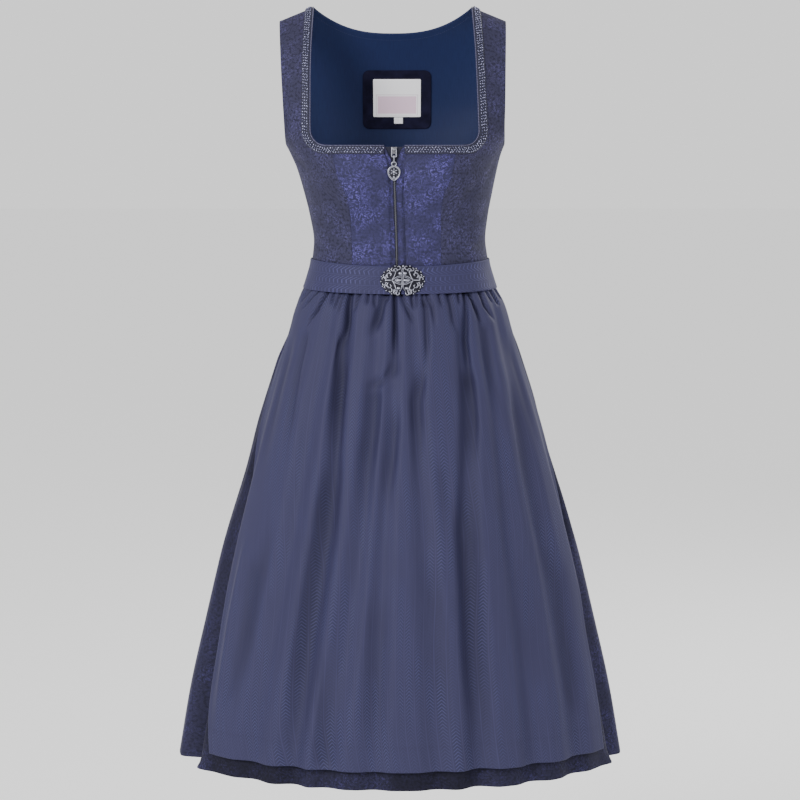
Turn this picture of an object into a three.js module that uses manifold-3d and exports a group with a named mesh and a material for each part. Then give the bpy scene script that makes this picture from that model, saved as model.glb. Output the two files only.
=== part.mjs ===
// A dirndl with its apron: boned bodice on broad straps, front zip, gathered skirt,
// gathered apron on a band that closes with a clasp. Filled out as worn, and hollow.
// Millimetres, +Z up, the front faces -Y. The origin lies midway between the shoulders.

import * as THREE from 'three';
import { mergeVertices } from 'three/addons/utils/BufferGeometryUtils.js';
import Module from 'manifold-3d';

const wasm = await Module();
wasm.setup();

// ---------------------------------------------------------------- driving sizes

const CLOTH = 1.8;               // brocade with its interlining
const SKIRT_CLOTH = 1.6;
const LINING = 1.0;
const SEAM_GAP = 0.3;
const HALF_GAP = SEAM_GAP / 2;
const SEAM_ANGLE = 0.0017;       // half a seam gap, seen from the middle of the body
const SKIRT_SEAM_ANGLE = 0.0011;

const UNDERARM_Z = -188;
const WAIST_SEAM_Z = -366;
const SKIRT_HEM_Z = -1036;
const APRON_HEM_Z = -1010;

const BODY_SQUARENESS = 2.3;
const SKIRT_SQUARENESS = 2.08;
const SHOULDER_SLOPE = 0.41;
const NECK_HALF_WIDTH = 108;
const BACK_NECK_DROP = 33;
const BACK_NECK_CURVE = 2.6;
const NECK_CORNER_RADIUS = 20;

// Sections of the bodice at each level. A row above the underarm gives the chest that
// the straps lie on. shift is how far the section stands to the wearer's left.
const BODY = [
  { z: -366, half: 122.8, front: 92.5, back: 79.5, shift: 10 },
  { z: -343, half: 121.0, front: 91.0, back: 77.0, shift: 10 },
  { z: -318, half: 118.4, front: 92.0, back: 77.0, shift: 9.5 },
  { z: -285, half: 122.6, front: 97.5, back: 80.5, shift: 8.5 },
  { z: -252, half: 129.7, front: 103.0, back: 84.5, shift: 7.5 },
  { z: -219, half: 138.0, front: 106.5, back: 87.5, shift: 6 },
  { z: -203, half: 143.4, front: 107.5, back: 88.5, shift: 4.5 },
  { z: -188, half: 150.0, front: 108.0, back: 89.0, shift: 3.5 },
  { z: -160, half: 167.0, front: 108.0, back: 91.0, shift: 2.5 },
  { z: -130, half: 179.0, front: 108.0, back: 92.0, shift: 2 },
  { z: -80, half: 186.0, front: 108.0, back: 92.0, shift: 1 },
  { z: 0, half: 186.0, front: 108.0, back: 92.0, shift: 0 },
];

// How the depth of the chest and of the back falls off towards the shoulder ridge.
const FRONT_FALL = { bend: 1.3, power: 0.62 };
const BACK_FALL = { bend: 2.2, power: 0.55 };

const BUST = { fullness: 22, angle: 30, spreadAngle: 26, z: -228, spreadZ: 48 };

// The front: where its middle stands from the section's middle, and the princess seams.
const FRONT_SEAMS = [
  { z: -366, centre: -4.4, princess: 60.5 },
  { z: -335, centre: -4.4, princess: 60 },
  { z: -286, centre: -4.4, princess: 60.5 },
  { z: -258, centre: -4.4, princess: 64.5 },
  { z: -230, centre: -4.0, princess: 76 },
  { z: -188, centre: -1.5, princess: 84.6 },
];

// Half-width of the neck opening and of the strap's outer edge.
const STRAP_EDGES = [
  { z: -188, neck: 113, arm: 150 },
  { z: -165, neck: 113, arm: 149.5 },
  { z: -130, neck: 112.5, arm: 150.5 },
  { z: -72, neck: 111.5, arm: 152.5 },
  { z: 0, neck: 108, arm: 155 },
];

// Outer half-width and depths of the skirt, from the waist seam to the hem.
const SKIRT = [
  { z: -1036, half: 311.0, front: 236.0, back: 238.0 },
  { z: -944, half: 295.0, front: 224.0, back: 225.0 },
  { z: -841, half: 271.5, front: 206.0, back: 207.0 },
  { z: -738, half: 246.8, front: 187.0, back: 187.0 },
  { z: -637, half: 218.7, front: 165.0, back: 164.0 },
  { z: -552, half: 193.7, front: 146.0, back: 144.0 },
  { z: -485, half: 171.5, front: 129.5, back: 124.0 },
  { z: -435, half: 153.4, front: 116.0, back: 108.0 },
  { z: -402, half: 141.0, front: 106.0, back: 96.0 },
  { z: -385, half: 131.5, front: 98.5, back: 87.0 },
  { z: -366, half: 122.8, front: 92.5, back: 79.5 },
];
const SKIRT_SHIFT = 10;

// Valleys of the large folds: their angle from the front and their depth at three levels,
// at the top, half way and at the hem, and half of their width in degrees.
const FOLD_LEVELS = [-420, -700, -1036];
const FOLDS = [
  { angles: [-38, -37, -41], depths: [4, 9, 15], width: 7 },
  { angles: [-27, -24, -28.5], depths: [7, 13, 17], width: 5.5 },
  { angles: [-11, -12.5, -19], depths: [4, 8, 10], width: 5.5 },
  { angles: [-2, -5.5, -6.5], depths: [4, 8, 9], width: 5 },
  { angles: [7, 8, 9.5], depths: [4, 7, 10], width: 5.5 },
  { angles: [33, 22, 20.5], depths: [6, 14, 20], width: 6 },
  { angles: [45, 38, 36], depths: [3, 7, 10], width: 6 },
  { angles: [60, 53, 51], depths: [3, 10, 17], width: 7 },
  { angles: [74, 75, 76], depths: [0, 7, 20], width: 7 },
  { angles: [105, 104, 106], depths: [2, 15, 34], width: 9 },
  { angles: [124, 126, 124], depths: [4, 13, 26], width: 8 },
  { angles: [141, 144, 147], depths: [4, 18, 42], width: 10 },
  { angles: [163, 164, 166], depths: [4, 13, 27], width: 8 },
  { angles: [184, 182, 183], depths: [3, 15, 36], width: 9 },
  { angles: [203, 203, 201], depths: [4, 12, 25], width: 8 },
  { angles: [221, 220, 221], depths: [3, 17, 40], width: 10 },
  { angles: [240, 241, 239], depths: [4, 12, 24], width: 8 },
  { angles: [256, 257, 256], depths: [2, 12, 31], width: 8 },
  { angles: [-73, -72, -71], depths: [0, 14, 46], width: 9 },
];

const GATHER_TOP_Z = -386;
const GATHER_FULL_Z = -402;
const GATHER_END_Z = -475;
const SKIRT_GATHERS = 64;
const SKIRT_GATHER_DEPTH = 3.4;
const APRON_GATHERS = 32;
const APRON_GATHER_DEPTH = 4.2;

// Side edges of the apron, by the angle from the front.
const APRON_EDGES = [
  { z: -1036, left: -54.5, right: 63.5 },
  { z: -950, left: -60, right: 65 },
  { z: -860, left: -62, right: 66.5 },
  { z: -770, left: -65, right: 71 },
  { z: -700, left: -70, right: 76 },
  { z: -560, left: -79, right: 81 },
  { z: -380, left: -83, right: 83 },
];
const APRON_CLOTH = 1.5;
const APRON_STAND = 2;           // apron's face before the line of the skirt
const APRON_SHARING = { by: 0.011, waves: 3, start: 1 };   // its folds are unevenly shared out
const APRON_UNEVEN = { by: 0.2, rate: 41 };                // and its gathers unevenly deep
const UNDER_APRON = 7.5;         // how far the covered skirt lies behind that line
const UNDER_APRON_RUN = 7;       // degrees over which it comes out again

// Outer half-width and depths of the apron's band.
const BAND = [
  { z: -390, half: 136.6, front: 105.2, back: 94.6 },
  { z: -368, half: 129.6, front: 99.0, back: 86.0 },
  { z: -352, half: 125.0, front: 95.2, back: 81.4 },
  { z: -338, half: 122.6, front: 93.0, back: 79.0 },
];
const BAND_CLOTH = 1.5;
const BAND_OPENING_ANGLE = 0.012;
const BAND_TOP_Z = -343;
const BAND_BOTTOM_Z = -383.5;
const BAND_TOP_DIP = 7;          // the band sits lower at the front
const BAND_BOTTOM_DIP = 3.5;
const APRON_BELOW_BAND = 0.8;    // clear of the band's inner edge, which slants down

const CLASP = {
  centre: 3.4,
  z: -369,
  half: 30.5,
  halfHeight: 21.5,
  thick: 2.6,
  boss: 2.2,
  domePower: 0.8,
};
const CLASP_RIM = { scallops: 16, depth: 0.035, thinner: 0.6, from: 0.9 };
const CLASP_SPLIT = 0.4;
const CLASP_NOTCH = { width: 3.2, from: 0.45, full: 0.8, across: 0.5 };

const ZIP_SLIT = 1.8;            // half the slit between the front edges
const ZIP_V = { width: 11, height: 27, bend: 1.3 };
const ZIP_TAPE = { near: 0.9, far: 13, thick: 0.9 };
const ZIP_CHAIN = { half: 1.5, top: -200.5, front: -0.4, thick: 1.4 };
const ZIP_BOTTOM_Z = -362;

const BRAID = { near: 1.2, width: 11, thick: 1.6, clear: 0.45 };

const PATCH = { x: 5.8, z: -124, width: 97, height: 83, corner: 9, thick: 1.0, clear: 0.8 };
const LABEL = { x: 5.8, z: -121.6, width: 67.5, height: 54, corner: 1.5, thick: 0.7 };
const TAG = { x: 7.9, z: -153.6, width: 12.6, height: 9, corner: 0.5, thick: 0.7 };

// Zip hardware. The pull hangs from the slider's bridge, the pendant from the pull.
const SLIDER = { width: 8, height: 9.5, depth: 2.7, z: -195, stand: 1.6 };
const BRIDGE = { width: 3, height: 4.6, eye: 1.2, wall: 0.9, corner: 1, sunk: 0.5 };
const PULL = { z: -193.2, y: -120.2, wire: 0.8, half: 3.0, corner: 1.1, drop: 9.9 };
const LINK = { wire: 0.6, half: 1.75, corner: 1.1, top: 1.75, drop: 8.2 };
const PENDANT = { eyeRadius: 3.0, eyeWire: 0.7, eyeSunk: 1.2, width: 16.6, height: 19.4, thick: 1.8 };
const PENDANT_BOSS = { depth: 1.5, halfWidth: 0.62, halfHeight: 0.33, down: 8.2 };

// ---------------------------------------------------------------- curves and sections

const degrees = THREE.MathUtils.degToRad;
const lerp = THREE.MathUtils.lerp;
const clamp = THREE.MathUtils.clamp;
const smooth = (from, to, value) => {
  const t = clamp((value - from) / (to - from), 0, 1);
  return t * t * (3 - 2 * t);
};

/** A smooth curve through one column of a table, with no overshoot between its rows. */
function columnCurve(rows, key, at = 'z') {
  const steps = rows.slice(1).map((row, i) => row[at] - rows[i][at]);
  const slopes = rows.slice(1).map((row, i) => (row[key] - rows[i][key]) / steps[i]);
  const tangents = rows.map((row, i) => {
    const before = slopes[Math.max(i - 1, 0)];
    const after = slopes[Math.min(i, slopes.length - 1)];
    return before * after <= 0 ? 0 : (2 * before * after) / (before + after);
  });
  return (value) => {
    const x = clamp(value, rows[0][at], rows[rows.length - 1][at]);
    const i = clamp(rows.findIndex((row) => row[at] >= x) - 1, 0, steps.length - 1);
    const t = (x - rows[i][at]) / steps[i];
    const bend = (1 - t) * steps[i] * tangents[i] * (1 - t) * t;
    const leave = t * steps[i] * tangents[i + 1] * (1 - t) * t;
    const ease = t * t * (3 - 2 * t);
    return lerp(rows[i][key], rows[i + 1][key], ease) + bend - leave;
  };
}

/** The curves of a table of sections, one for each of its columns. */
function tableCurves(rows) {
  const keys = Object.keys(rows[0]).filter((key) => key !== 'z');
  return Object.fromEntries(keys.map((key) => [key, columnCurve(rows, key)]));
}

const body = tableCurves(BODY);
const frontSeams = tableCurves(FRONT_SEAMS);
const strap = tableCurves(STRAP_EDGES);
const skirt = tableCurves(SKIRT);
const band = tableCurves(BAND);
const apronEdges = tableCurves(APRON_EDGES);

/** A point of an egg-shaped section. Angle 0 is the front, and it grows towards +X. */
function sectionPoint(angle, half, front, back, squareness) {
  const sine = Math.sin(angle);
  const cosine = Math.cos(angle);
  const sum = Math.abs(sine) ** squareness + Math.abs(cosine) ** squareness;
  const reach = sum ** (-1 / squareness);
  const depth = cosine > 0 ? front : back;
  return { x: half * sine * reach, y: -depth * cosine * reach };
}

/** The angle at which an egg-shaped section has the given share of its half-width. */
function sectionAngle(share, squareness) {
  const u = clamp(share, 0, 0.99999);
  return Math.atan(u / (1 - u ** squareness) ** (1 / squareness));
}

/** How far up the way from the underarm to the shoulder ridge a level is. */
function riseAt(level) {
  return clamp((level - UNDERARM_Z) / -UNDERARM_Z, 0, 1);
}

function fallOff(rise, law) {
  return (1 - rise ** law.bend) ** law.power;
}

/** The level at which the depth has fallen to the given share. */
function levelAtDepth(share, law) {
  const rise = (1 - share ** (1 / law.power)) ** (1 / law.bend);
  return UNDERARM_Z * (1 - rise);
}

function bustFullness(angle, level) {
  const across = [-1, 1].reduce((sum, side) => {
    const away = (angle - side * degrees(BUST.angle)) / degrees(BUST.spreadAngle);
    return sum + Math.exp(-away * away);
  }, 0);
  const down = (level - BUST.z) / BUST.spreadZ;
  return BUST.fullness * across * Math.exp(-down * down);
}

/** The outer face of the bodice. A level is a height, before the shoulders slope. */
function bodyPoint(angle, level) {
  const rise = riseAt(level);
  const front = body.front(level) * fallOff(rise, FRONT_FALL);
  const back = body.back(level) * fallOff(rise, BACK_FALL);
  const point = sectionPoint(angle, body.half(level), front, back, BODY_SQUARENESS);
  const isFront = Math.cos(angle) > 0;
  const bust = isFront ? bustFullness(angle, level) * fallOff(rise, FRONT_FALL) : 0;
  const beyondNeck = Math.max(0, Math.abs(point.x) - NECK_HALF_WIDTH);
  const drop = SHOULDER_SLOPE * beyondNeck * rise * rise;
  return new THREE.Vector3(point.x + body.shift(level), point.y - bust, level - drop);
}

/** The angle of the bodice's front or back at a place x on a level. */
function bodyAngle(x, level, onBack = false) {
  const away = x - body.shift(level);
  const angle = sectionAngle(Math.abs(away) / body.half(level), BODY_SQUARENESS);
  return Math.sign(away || 1) * (onBack ? Math.PI - angle : angle);
}

function foldDepth(angle, z) {
  let depth = 0;
  for (const fold of FOLDS) {
    const place = threeLevels(fold.angles, z);
    const away = Math.abs(wrapAngle(angle - degrees(place))) / degrees(fold.width);
    if (away < 1) {
      const share = Math.cos((away * Math.PI) / 2);
      depth += threeLevels(fold.depths, z) * share * share * smooth(WAIST_SEAM_Z, FOLD_LEVELS[0], z);
    }
  }
  return depth;
}

/** A value given at the three fold levels, read between them. */
function threeLevels(values, z) {
  const [top, middle, hem] = FOLD_LEVELS;
  if (z > middle) {
    return lerp(values[0], values[1], clamp((top - z) / (top - middle), 0, 1));
  }
  return lerp(values[1], values[2], clamp((middle - z) / (middle - hem), 0, 1));
}

function wrapAngle(angle) {
  return Math.atan2(Math.sin(angle), Math.cos(angle));
}

/** Strength of the small gathers below the waist: none at the seam, and gone further down. */
function gatherStrength(z) {
  return smooth(WAIST_SEAM_Z, GATHER_FULL_Z, z) * (1 - smooth(GATHER_FULL_Z, GATHER_END_Z, z));
}

/** The line of the skirt with its large folds, moved out by a distance. */
function skirtLine(angle, z, out) {
  const point = sectionPoint(angle, skirt.half(z), skirt.front(z), skirt.back(z), SKIRT_SQUARENESS);
  const reach = out - foldDepth(angle, z);
  const x = point.x + SKIRT_SHIFT + reach * Math.sin(angle);
  return new THREE.Vector3(x, point.y - reach * Math.cos(angle), z);
}

/** How far the skirt draws back for the apron: 1 all the way below it, 0 well beside it. */
function apronCover(angle, z) {
  const turn = THREE.MathUtils.radToDeg(wrapAngle(angle));
  const left = smooth(apronEdges.left(z) - UNDER_APRON_RUN, apronEdges.left(z), turn);
  const right = 1 - smooth(apronEdges.right(z), apronEdges.right(z) + UNDER_APRON_RUN, turn);
  return Math.min(left, right) * smooth(WAIST_SEAM_Z, BAND_BOTTOM_Z, z);
}

function skirtPoint(angle, z) {
  const cover = apronCover(angle, z);
  const wave = (1 - Math.cos(angle * SKIRT_GATHERS)) / 2;
  const gather = SKIRT_GATHER_DEPTH * wave * gatherStrength(z) * (1 - cover);
  return skirtLine(angle, z, -gather - UNDER_APRON * cover);
}

/** The apron's face. share runs from its left edge to its right edge. */
function apronPoint(share, z) {
  const { by, waves, start } = APRON_SHARING;
  const uneven = Math.sin(2 * Math.PI * waves * share + start) - Math.sin(start);
  const spread = share + by * uneven;
  const angle = degrees(lerp(apronEdges.left(z), apronEdges.right(z), clamp(spread, 0, 1)));
  const wave = (1 - Math.cos(share * APRON_GATHERS * 2 * Math.PI)) / 2;
  const unevenness = 1 - APRON_UNEVEN.by + APRON_UNEVEN.by * Math.sin(share * APRON_UNEVEN.rate);
  const gather = APRON_GATHER_DEPTH * wave * unevenness * gatherStrength(z);
  return skirtLine(angle, z, APRON_STAND + gather);
}

function bandPoint(angle, z) {
  const point = sectionPoint(angle, band.half(z), band.front(z), band.back(z), BODY_SQUARENESS);
  return new THREE.Vector3(point.x + SKIRT_SHIFT, point.y, z);
}

function bandTop(angle) {
  return BAND_TOP_Z - BAND_TOP_DIP * Math.max(0, Math.cos(angle)) ** 2;
}

function bandBottom(angle) {
  return BAND_BOTTOM_Z - BAND_BOTTOM_DIP * Math.max(0, Math.cos(angle)) ** 2;
}

// ---------------------------------------------------------------- cloth walls

/** The outward direction of a surface at a place. It is square to shoulder and side seams. */
function outward(surface, across, up, stepAcross, stepUp) {
  const side = surface(across + stepAcross, up).sub(surface(across - stepAcross, up));
  const rise = Math.min(stepUp, Math.abs(up) / 2 || stepUp);
  const height = surface(across, up + rise).sub(surface(across, up - rise));
  const normal = side.cross(height).normalize();
  if (up > -0.05 || Math.abs(Math.cos(across)) < 0.01) {
    normal.y = 0;
    normal.normalize();
  }
  return normal;
}

/** The faces of a grid of places. Going up, a row has as many cells as the last, or twice. */
function gridFaces(rows) {
  const starts = [];
  let count = 0;
  for (const row of rows) {
    starts.push(count);
    count += row.length;
  }
  const faces = [];
  for (let i = 0; i + 1 < rows.length; i++) {
    const low = starts[i];
    const high = starts[i + 1];
    const doubled = rows[i + 1].length > rows[i].length;
    for (let j = 0; j + 1 < rows[i].length; j++) {
      const a = low + j;
      const b = a + 1;
      if (doubled) {
        const c = high + 2 * j;
        faces.push([a, b, c + 1], [a, c + 1, c], [b, c + 2, c + 1]);
      } else {
        const c = high + j;
        faces.push([a, b, c + 1], [a, c + 1, c]);
      }
    }
  }
  return faces;
}

/** Closes two like skins, an outer and an inner one, into one body. */
function closedSkins(outer, inner, faces) {
  const open = new Map();
  for (const face of faces) {
    face.forEach((from, i) => {
      const to = face[(i + 1) % 3];
      if (!open.delete(`${to}_${from}`)) {
        open.set(`${from}_${to}`, [from, to]);
      }
    });
  }
  const count = outer.length;
  const index = faces.flat();
  for (const [a, b, c] of faces) {
    index.push(a + count, c + count, b + count);
  }
  for (const [from, to] of open.values()) {
    index.push(to, from, from + count, to, from + count, to + count);
  }
  const geometry = new THREE.BufferGeometry();
  const places = [...outer, ...inner].flatMap((point) => [point.x, point.y, point.z]);
  geometry.setAttribute('position', new THREE.Float32BufferAttribute(places, 3));
  geometry.setIndex(index);
  return geometry;
}

/**
 * A wall of cloth over a grid of places on a surface. A place is its way across, its way up
 * and, where it has one, how much further its outer face is raised.
 * front is how far the outer face lies before the surface, and thick the wall's thickness.
 */
function wall(surface, rows, front, thick, stepAcross = 0.004) {
  const outer = [];
  const inner = [];
  for (const [across, up, raise = 0] of rows.flat()) {
    const normal = outward(surface, across, up, stepAcross, 0.4);
    const point = surface(across, up);
    outer.push(point.clone().addScaledVector(normal, front + raise));
    inner.push(point.clone().addScaledVector(normal, front - thick));
  }
  return closedSkins(outer, inner, gridFaces(rows));
}

const steps = (count) => Array.from({ length: count + 1 }, (_, i) => i / count);
const between = (from, to, count) => steps(count).map((share) => lerp(from, to, share));
const facing = (side, rows) => (side < 0 ? rows.map((row) => row.reverse()) : rows);

// ---------------------------------------------------------------- bodice

const BODICE_LEVELS = [-366, -343, -318, -290, -262, -236, -212, UNDERARM_Z];
const CENTRE_LEVELS = [...BODICE_LEVELS.slice(0, 6), -220, -210, -201, -194, UNDERARM_Z];
const STRAP_RISES = [0.04, 0.1, 0.2, 0.33];
const FRONT_DEPTHS = [0.75, 0.6, 0.45, 0.3, 0.18, 0.08];
const BACK_DEPTHS = [0.86, 0.72, 0.55, 0.38, 0.24, 0.12];
const RIDGE_DEPTH = 0.0018;

const frontMiddle = (z) => body.shift(z) + frontSeams.centre(z);

/** Half the opening between the two front edges: a slit that spreads into a small V. */
function frontOpening(z) {
  const share = clamp(1 - (UNDERARM_Z - z) / ZIP_V.height, 0, 1);
  return ZIP_SLIT + ZIP_V.width * share ** ZIP_V.bend;
}

function frontCentreRows(side) {
  const rows = CENTRE_LEVELS.map((z) => {
    const inner = frontMiddle(z) + side * frontOpening(z);
    const outer = frontMiddle(z) + side * (frontSeams.princess(z) - HALF_GAP);
    return between(inner, outer, 5).map((x) => [bodyAngle(x, z), z]);
  });
  return facing(side, rows);
}

/** Half-width of the neck opening, with its rounded lower corner. */
function neckEdge(level) {
  const below = strap.neck(level) - NECK_CORNER_RADIUS;
  const fromCentre = clamp((UNDERARM_Z + NECK_CORNER_RADIUS - level) / NECK_CORNER_RADIUS, 0, 1);
  return below + NECK_CORNER_RADIUS * Math.sqrt(1 - fromCentre * fromCentre);
}

/** Levels above the underarm, ending just short of the shoulder ridge. */
function strapLevels(depths, law) {
  const low = STRAP_RISES.map((rise) => UNDERARM_Z * (1 - rise));
  return [...low, ...[...depths, RIDGE_DEPTH].map((share) => levelAtDepth(share, law))];
}

function frontSideRows(side) {
  const shares = steps(6);
  const outerAngle = side * (Math.PI / 2 - SEAM_ANGLE);
  const rows = BODICE_LEVELS.map((z) => {
    const seam = bodyAngle(frontMiddle(z) + side * (frontSeams.princess(z) + HALF_GAP), z);
    return shares.map((share) => [lerp(seam, outerAngle, share), z]);
  });
  const places = rows[rows.length - 1].map(([angle, z]) => bodyPoint(angle, z).x);
  const across = places.map((x) => (x - places[0]) / (places[6] - places[0]));
  for (const level of strapLevels(FRONT_DEPTHS, FRONT_FALL)) {
    const inner = body.shift(level) + side * neckEdge(level);
    const outer = body.shift(level) + side * strap.arm(level);
    rows.push(across.map((share) => [bodyAngle(lerp(inner, outer, share), level), level]));
  }
  return facing(side, rows);
}

/** Rows of the back, from a low level up over the shoulder blades to the neck and ridge. */
function backRows(neckCells, strapCells) {
  const cornerAngle = sectionAngle(NECK_HALF_WIDTH / body.half(UNDERARM_Z), BODY_SQUARENESS);
  const sideAngles = between(Math.PI / 2 - SEAM_ANGLE, cornerAngle, strapCells);
  const straps = sideAngles.map((angle) => {
    const point = sectionPoint(angle, body.half(UNDERARM_Z), 1, 1, BODY_SQUARENESS);
    const share = (point.x - NECK_HALF_WIDTH) / (strap.arm(UNDERARM_Z) - NECK_HALF_WIDTH);
    return { angle, share };
  });
  const necks = between(NECK_HALF_WIDTH, -NECK_HALF_WIDTH, neckCells).slice(1, -1);
  const neckColumns = necks.map((away) => ({
    angle: Math.sign(away || 1) * sectionAngle(Math.abs(away) / body.half(UNDERARM_Z), BODY_SQUARENESS),
    away,
  }));
  const rightSide = straps.map((column) => ({ ...column, side: 1 }));
  const leftSide = straps.toReversed().map((column) => ({ ...column, side: -1 }));
  const columns = [...rightSide, ...neckColumns, ...leftSide];
  const turn = (column) => Math.PI - (column.side ?? 1) * column.angle;
  const rows = BODICE_LEVELS.map((z) => columns.map((column) => [turn(column), z]));
  for (const level of strapLevels(BACK_DEPTHS, BACK_FALL)) {
    rows.push(columns.map((column) => {
      if (column.side === undefined) {
        const z = backLevel(Math.abs(column.away), level);
        return [backTurn(column.away, z), z];
      }
      const arm = strap.arm(level);
      const away = lerp(NECK_HALF_WIDTH, arm, column.share);
      return [backTurn(column.side * away, level), level];
    }));
  }
  return rows;
}

/** A level scaled down to the neck's curve, for a column that ends there. */
function backLevel(away, level) {
  const neckLine = -BACK_NECK_DROP * (1 - (away / NECK_HALF_WIDTH) ** BACK_NECK_CURVE);
  return UNDERARM_Z + (neckLine - UNDERARM_Z) * riseAt(level);
}

/** The angle of a place on the back, between a quarter and three quarters of a turn. */
function backTurn(away, level) {
  const angle = sectionAngle(Math.abs(away) / body.half(level), BODY_SQUARENESS);
  return Math.PI - Math.sign(away) * angle;
}

/** A flat patch with rounded corners, laid on the inside of the back. */
function patchRows(patch, across, up) {
  return between(patch.z - patch.height / 2, patch.z + patch.height / 2, up).map((z) => {
    const toCorner = Math.max(0, Math.abs(z - patch.z) - patch.height / 2 + patch.corner);
    const cut = patch.corner - Math.sqrt(patch.corner ** 2 - toCorner ** 2);
    const half = patch.width / 2 - cut;
    return between(patch.x + half, patch.x - half, across).map((x) => {
      return [backTurn(x - body.shift(z), z), z];
    });
  });
}

/** The braid along the neck, from the front opening to the shoulder. */
function braidRows(side) {
  const stations = [];
  const startX = frontOpening(UNDERARM_Z) + 1;
  const cornerX = strap.neck(UNDERARM_Z) - NECK_CORNER_RADIUS;
  const cornerZ = UNDERARM_Z + NECK_CORNER_RADIUS;
  for (const away of between(startX, cornerX, 9)) {
    stations.push((out) => ({ away, level: UNDERARM_Z - out, middle: frontSeams.centre(UNDERARM_Z) }));
  }
  for (const turn of between(0, Math.PI / 2, 5).slice(1)) {
    stations.push((out) => ({
      away: cornerX + (NECK_CORNER_RADIUS + out) * Math.sin(turn),
      level: cornerZ - (NECK_CORNER_RADIUS + out) * Math.cos(turn),
      middle: 0,
    }));
  }
  for (const level of strapLevels(FRONT_DEPTHS, FRONT_FALL).slice(2)) {
    stations.push((out) => ({ away: strap.neck(level) + out, level, middle: 0 }));
  }
  const rows = [BRAID.near + BRAID.width, BRAID.near + BRAID.width / 2, BRAID.near].map((out) => {
    return stations.map((station) => {
      const { away, level, middle } = station(out);
      const share = clamp((cornerX - away) / cornerX, 0, 1);
      return [bodyAngle(body.shift(level) + side * away + middle * share, level), level];
    });
  });
  return facing(side, rows);
}

function zipRows(side, near, far, top) {
  const levels = CENTRE_LEVELS.filter((z) => z > ZIP_BOTTOM_Z && z < top);
  const rows = [ZIP_BOTTOM_Z, ...levels, top].map((z) => between(near, far, 1).map((away) => {
    return [bodyAngle(frontMiddle(z) + side * away, z), z];
  }));
  return facing(side, rows);
}

// ---------------------------------------------------------------- skirt, apron and band

const SKIRT_LEVELS = [SKIRT_HEM_Z, -925, -805, -685, -580, -500];
const SKIRT_GATHER_LEVELS = [-450, -422, -400, WAIST_SEAM_Z - SEAM_GAP];
const APRON_LEVELS = [APRON_HEM_Z, -930, -840, -750, -660, -570, -500];
const APRON_GATHER_LEVELS = [-452, -424, -402, GATHER_TOP_Z];

/** Rows of the skirt's back. Its open gathers take twice as many cells across. */
function skirtBackRows() {
  const edge = Math.PI / 2 + SKIRT_SEAM_ANGLE;
  const coarse = between(edge, 2 * Math.PI - edge, SKIRT_GATHERS);
  const fine = between(edge, 2 * Math.PI - edge, SKIRT_GATHERS * 2);
  return [
    ...SKIRT_LEVELS.map((z) => coarse.map((angle) => [angle, z])),
    ...SKIRT_GATHER_LEVELS.map((z) => fine.map((angle) => [angle, z])),
  ];
}

function apronRows() {
  const cells = APRON_GATHERS * 2;
  const coarse = APRON_LEVELS.map((z) => steps(cells).map((share) => [share, z]));
  const fine = APRON_GATHER_LEVELS.map((z, i) => steps(cells * 2).map((share) => {
    const angle = degrees(lerp(apronEdges.left(z), apronEdges.right(z), share));
    const toBand = bandBottom(angle) - APRON_BELOW_BAND - GATHER_TOP_Z;
    return [share, z + (toBand * i) / (APRON_GATHER_LEVELS.length - 1)];
  }));
  return [...coarse, ...fine];
}

/** Rows of the skirt's front, which the apron covers but for its sides. */
function skirtFrontRows() {
  const edge = Math.PI / 2 - SKIRT_SEAM_ANGLE;
  const angles = between(-edge, edge, 58);
  const covered = SKIRT_GATHER_LEVELS.slice(2);
  return [...SKIRT_LEVELS, ...covered].map((z) => angles.map((angle) => [angle, z]));
}

function bandRows() {
  const angles = between(BAND_OPENING_ANGLE, 2 * Math.PI - BAND_OPENING_ANGLE, 56);
  return between(0, 1, 3).map((share) => angles.map((angle) => {
    return [angle, lerp(bandBottom(angle), bandTop(angle), share)];
  }));
}

/** Angle of the band's front at a distance from the middle of the clasp. */
function bandAngle(x, z) {
  const away = CLASP.centre + x;
  return Math.sign(away) * sectionAngle(Math.abs(away) / band.half(z), BODY_SQUARENESS);
}

/** One half of the clasp: a half oval with a scalloped rim, raised towards its middle. */
function claspRows(side) {
  const turns = between(-Math.PI / 2, Math.PI / 2, 16);
  const rows = [0.02, 0.35, 0.62, 0.84, 1].map((share) => turns.map((turn) => {
    const scallop = share === 1 ? 1 - CLASP_RIM.depth * Math.cos(turn * CLASP_RIM.scallops) : 1;
    const down = smooth(CLASP_NOTCH.from, CLASP_NOTCH.full, -Math.sin(turn) * share);
    const notch = CLASP_NOTCH.width * down * (1 - smooth(0, CLASP_NOTCH.across, Math.cos(turn)));
    const away = CLASP_SPLIT + notch + CLASP.half * share * scallop * Math.max(0, Math.cos(turn));
    const z = CLASP.z + CLASP.halfHeight * share * scallop * Math.sin(turn);
    const dome = CLASP.boss * (1 - share) ** CLASP.domePower;
    const raise = dome - CLASP_RIM.thinner * smooth(CLASP_RIM.from, 1, share);
    return [bandAngle(side * away, z), z, raise];
  }));
  return facing(side, rows.toReversed());
}

// ---------------------------------------------------------------- zip hardware

/** A geometry as a solid that can be joined and cut. */
function solid(geometry) {
  geometry.deleteAttribute('normal');
  geometry.deleteAttribute('uv');
  const merged = mergeVertices(geometry);
  return new wasm.Manifold(new wasm.Mesh({
    numProp: 3,
    vertProperties: new Float32Array(merged.attributes.position.array),
    triVerts: new Uint32Array(merged.index.array),
  }));
}

function geometryOf(joined) {
  const mesh = joined.getMesh();
  const geometry = new THREE.BufferGeometry();
  geometry.setAttribute('position', new THREE.Float32BufferAttribute(mesh.vertProperties, 3));
  geometry.setIndex(Array.from(mesh.triVerts));
  return geometry;
}

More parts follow.
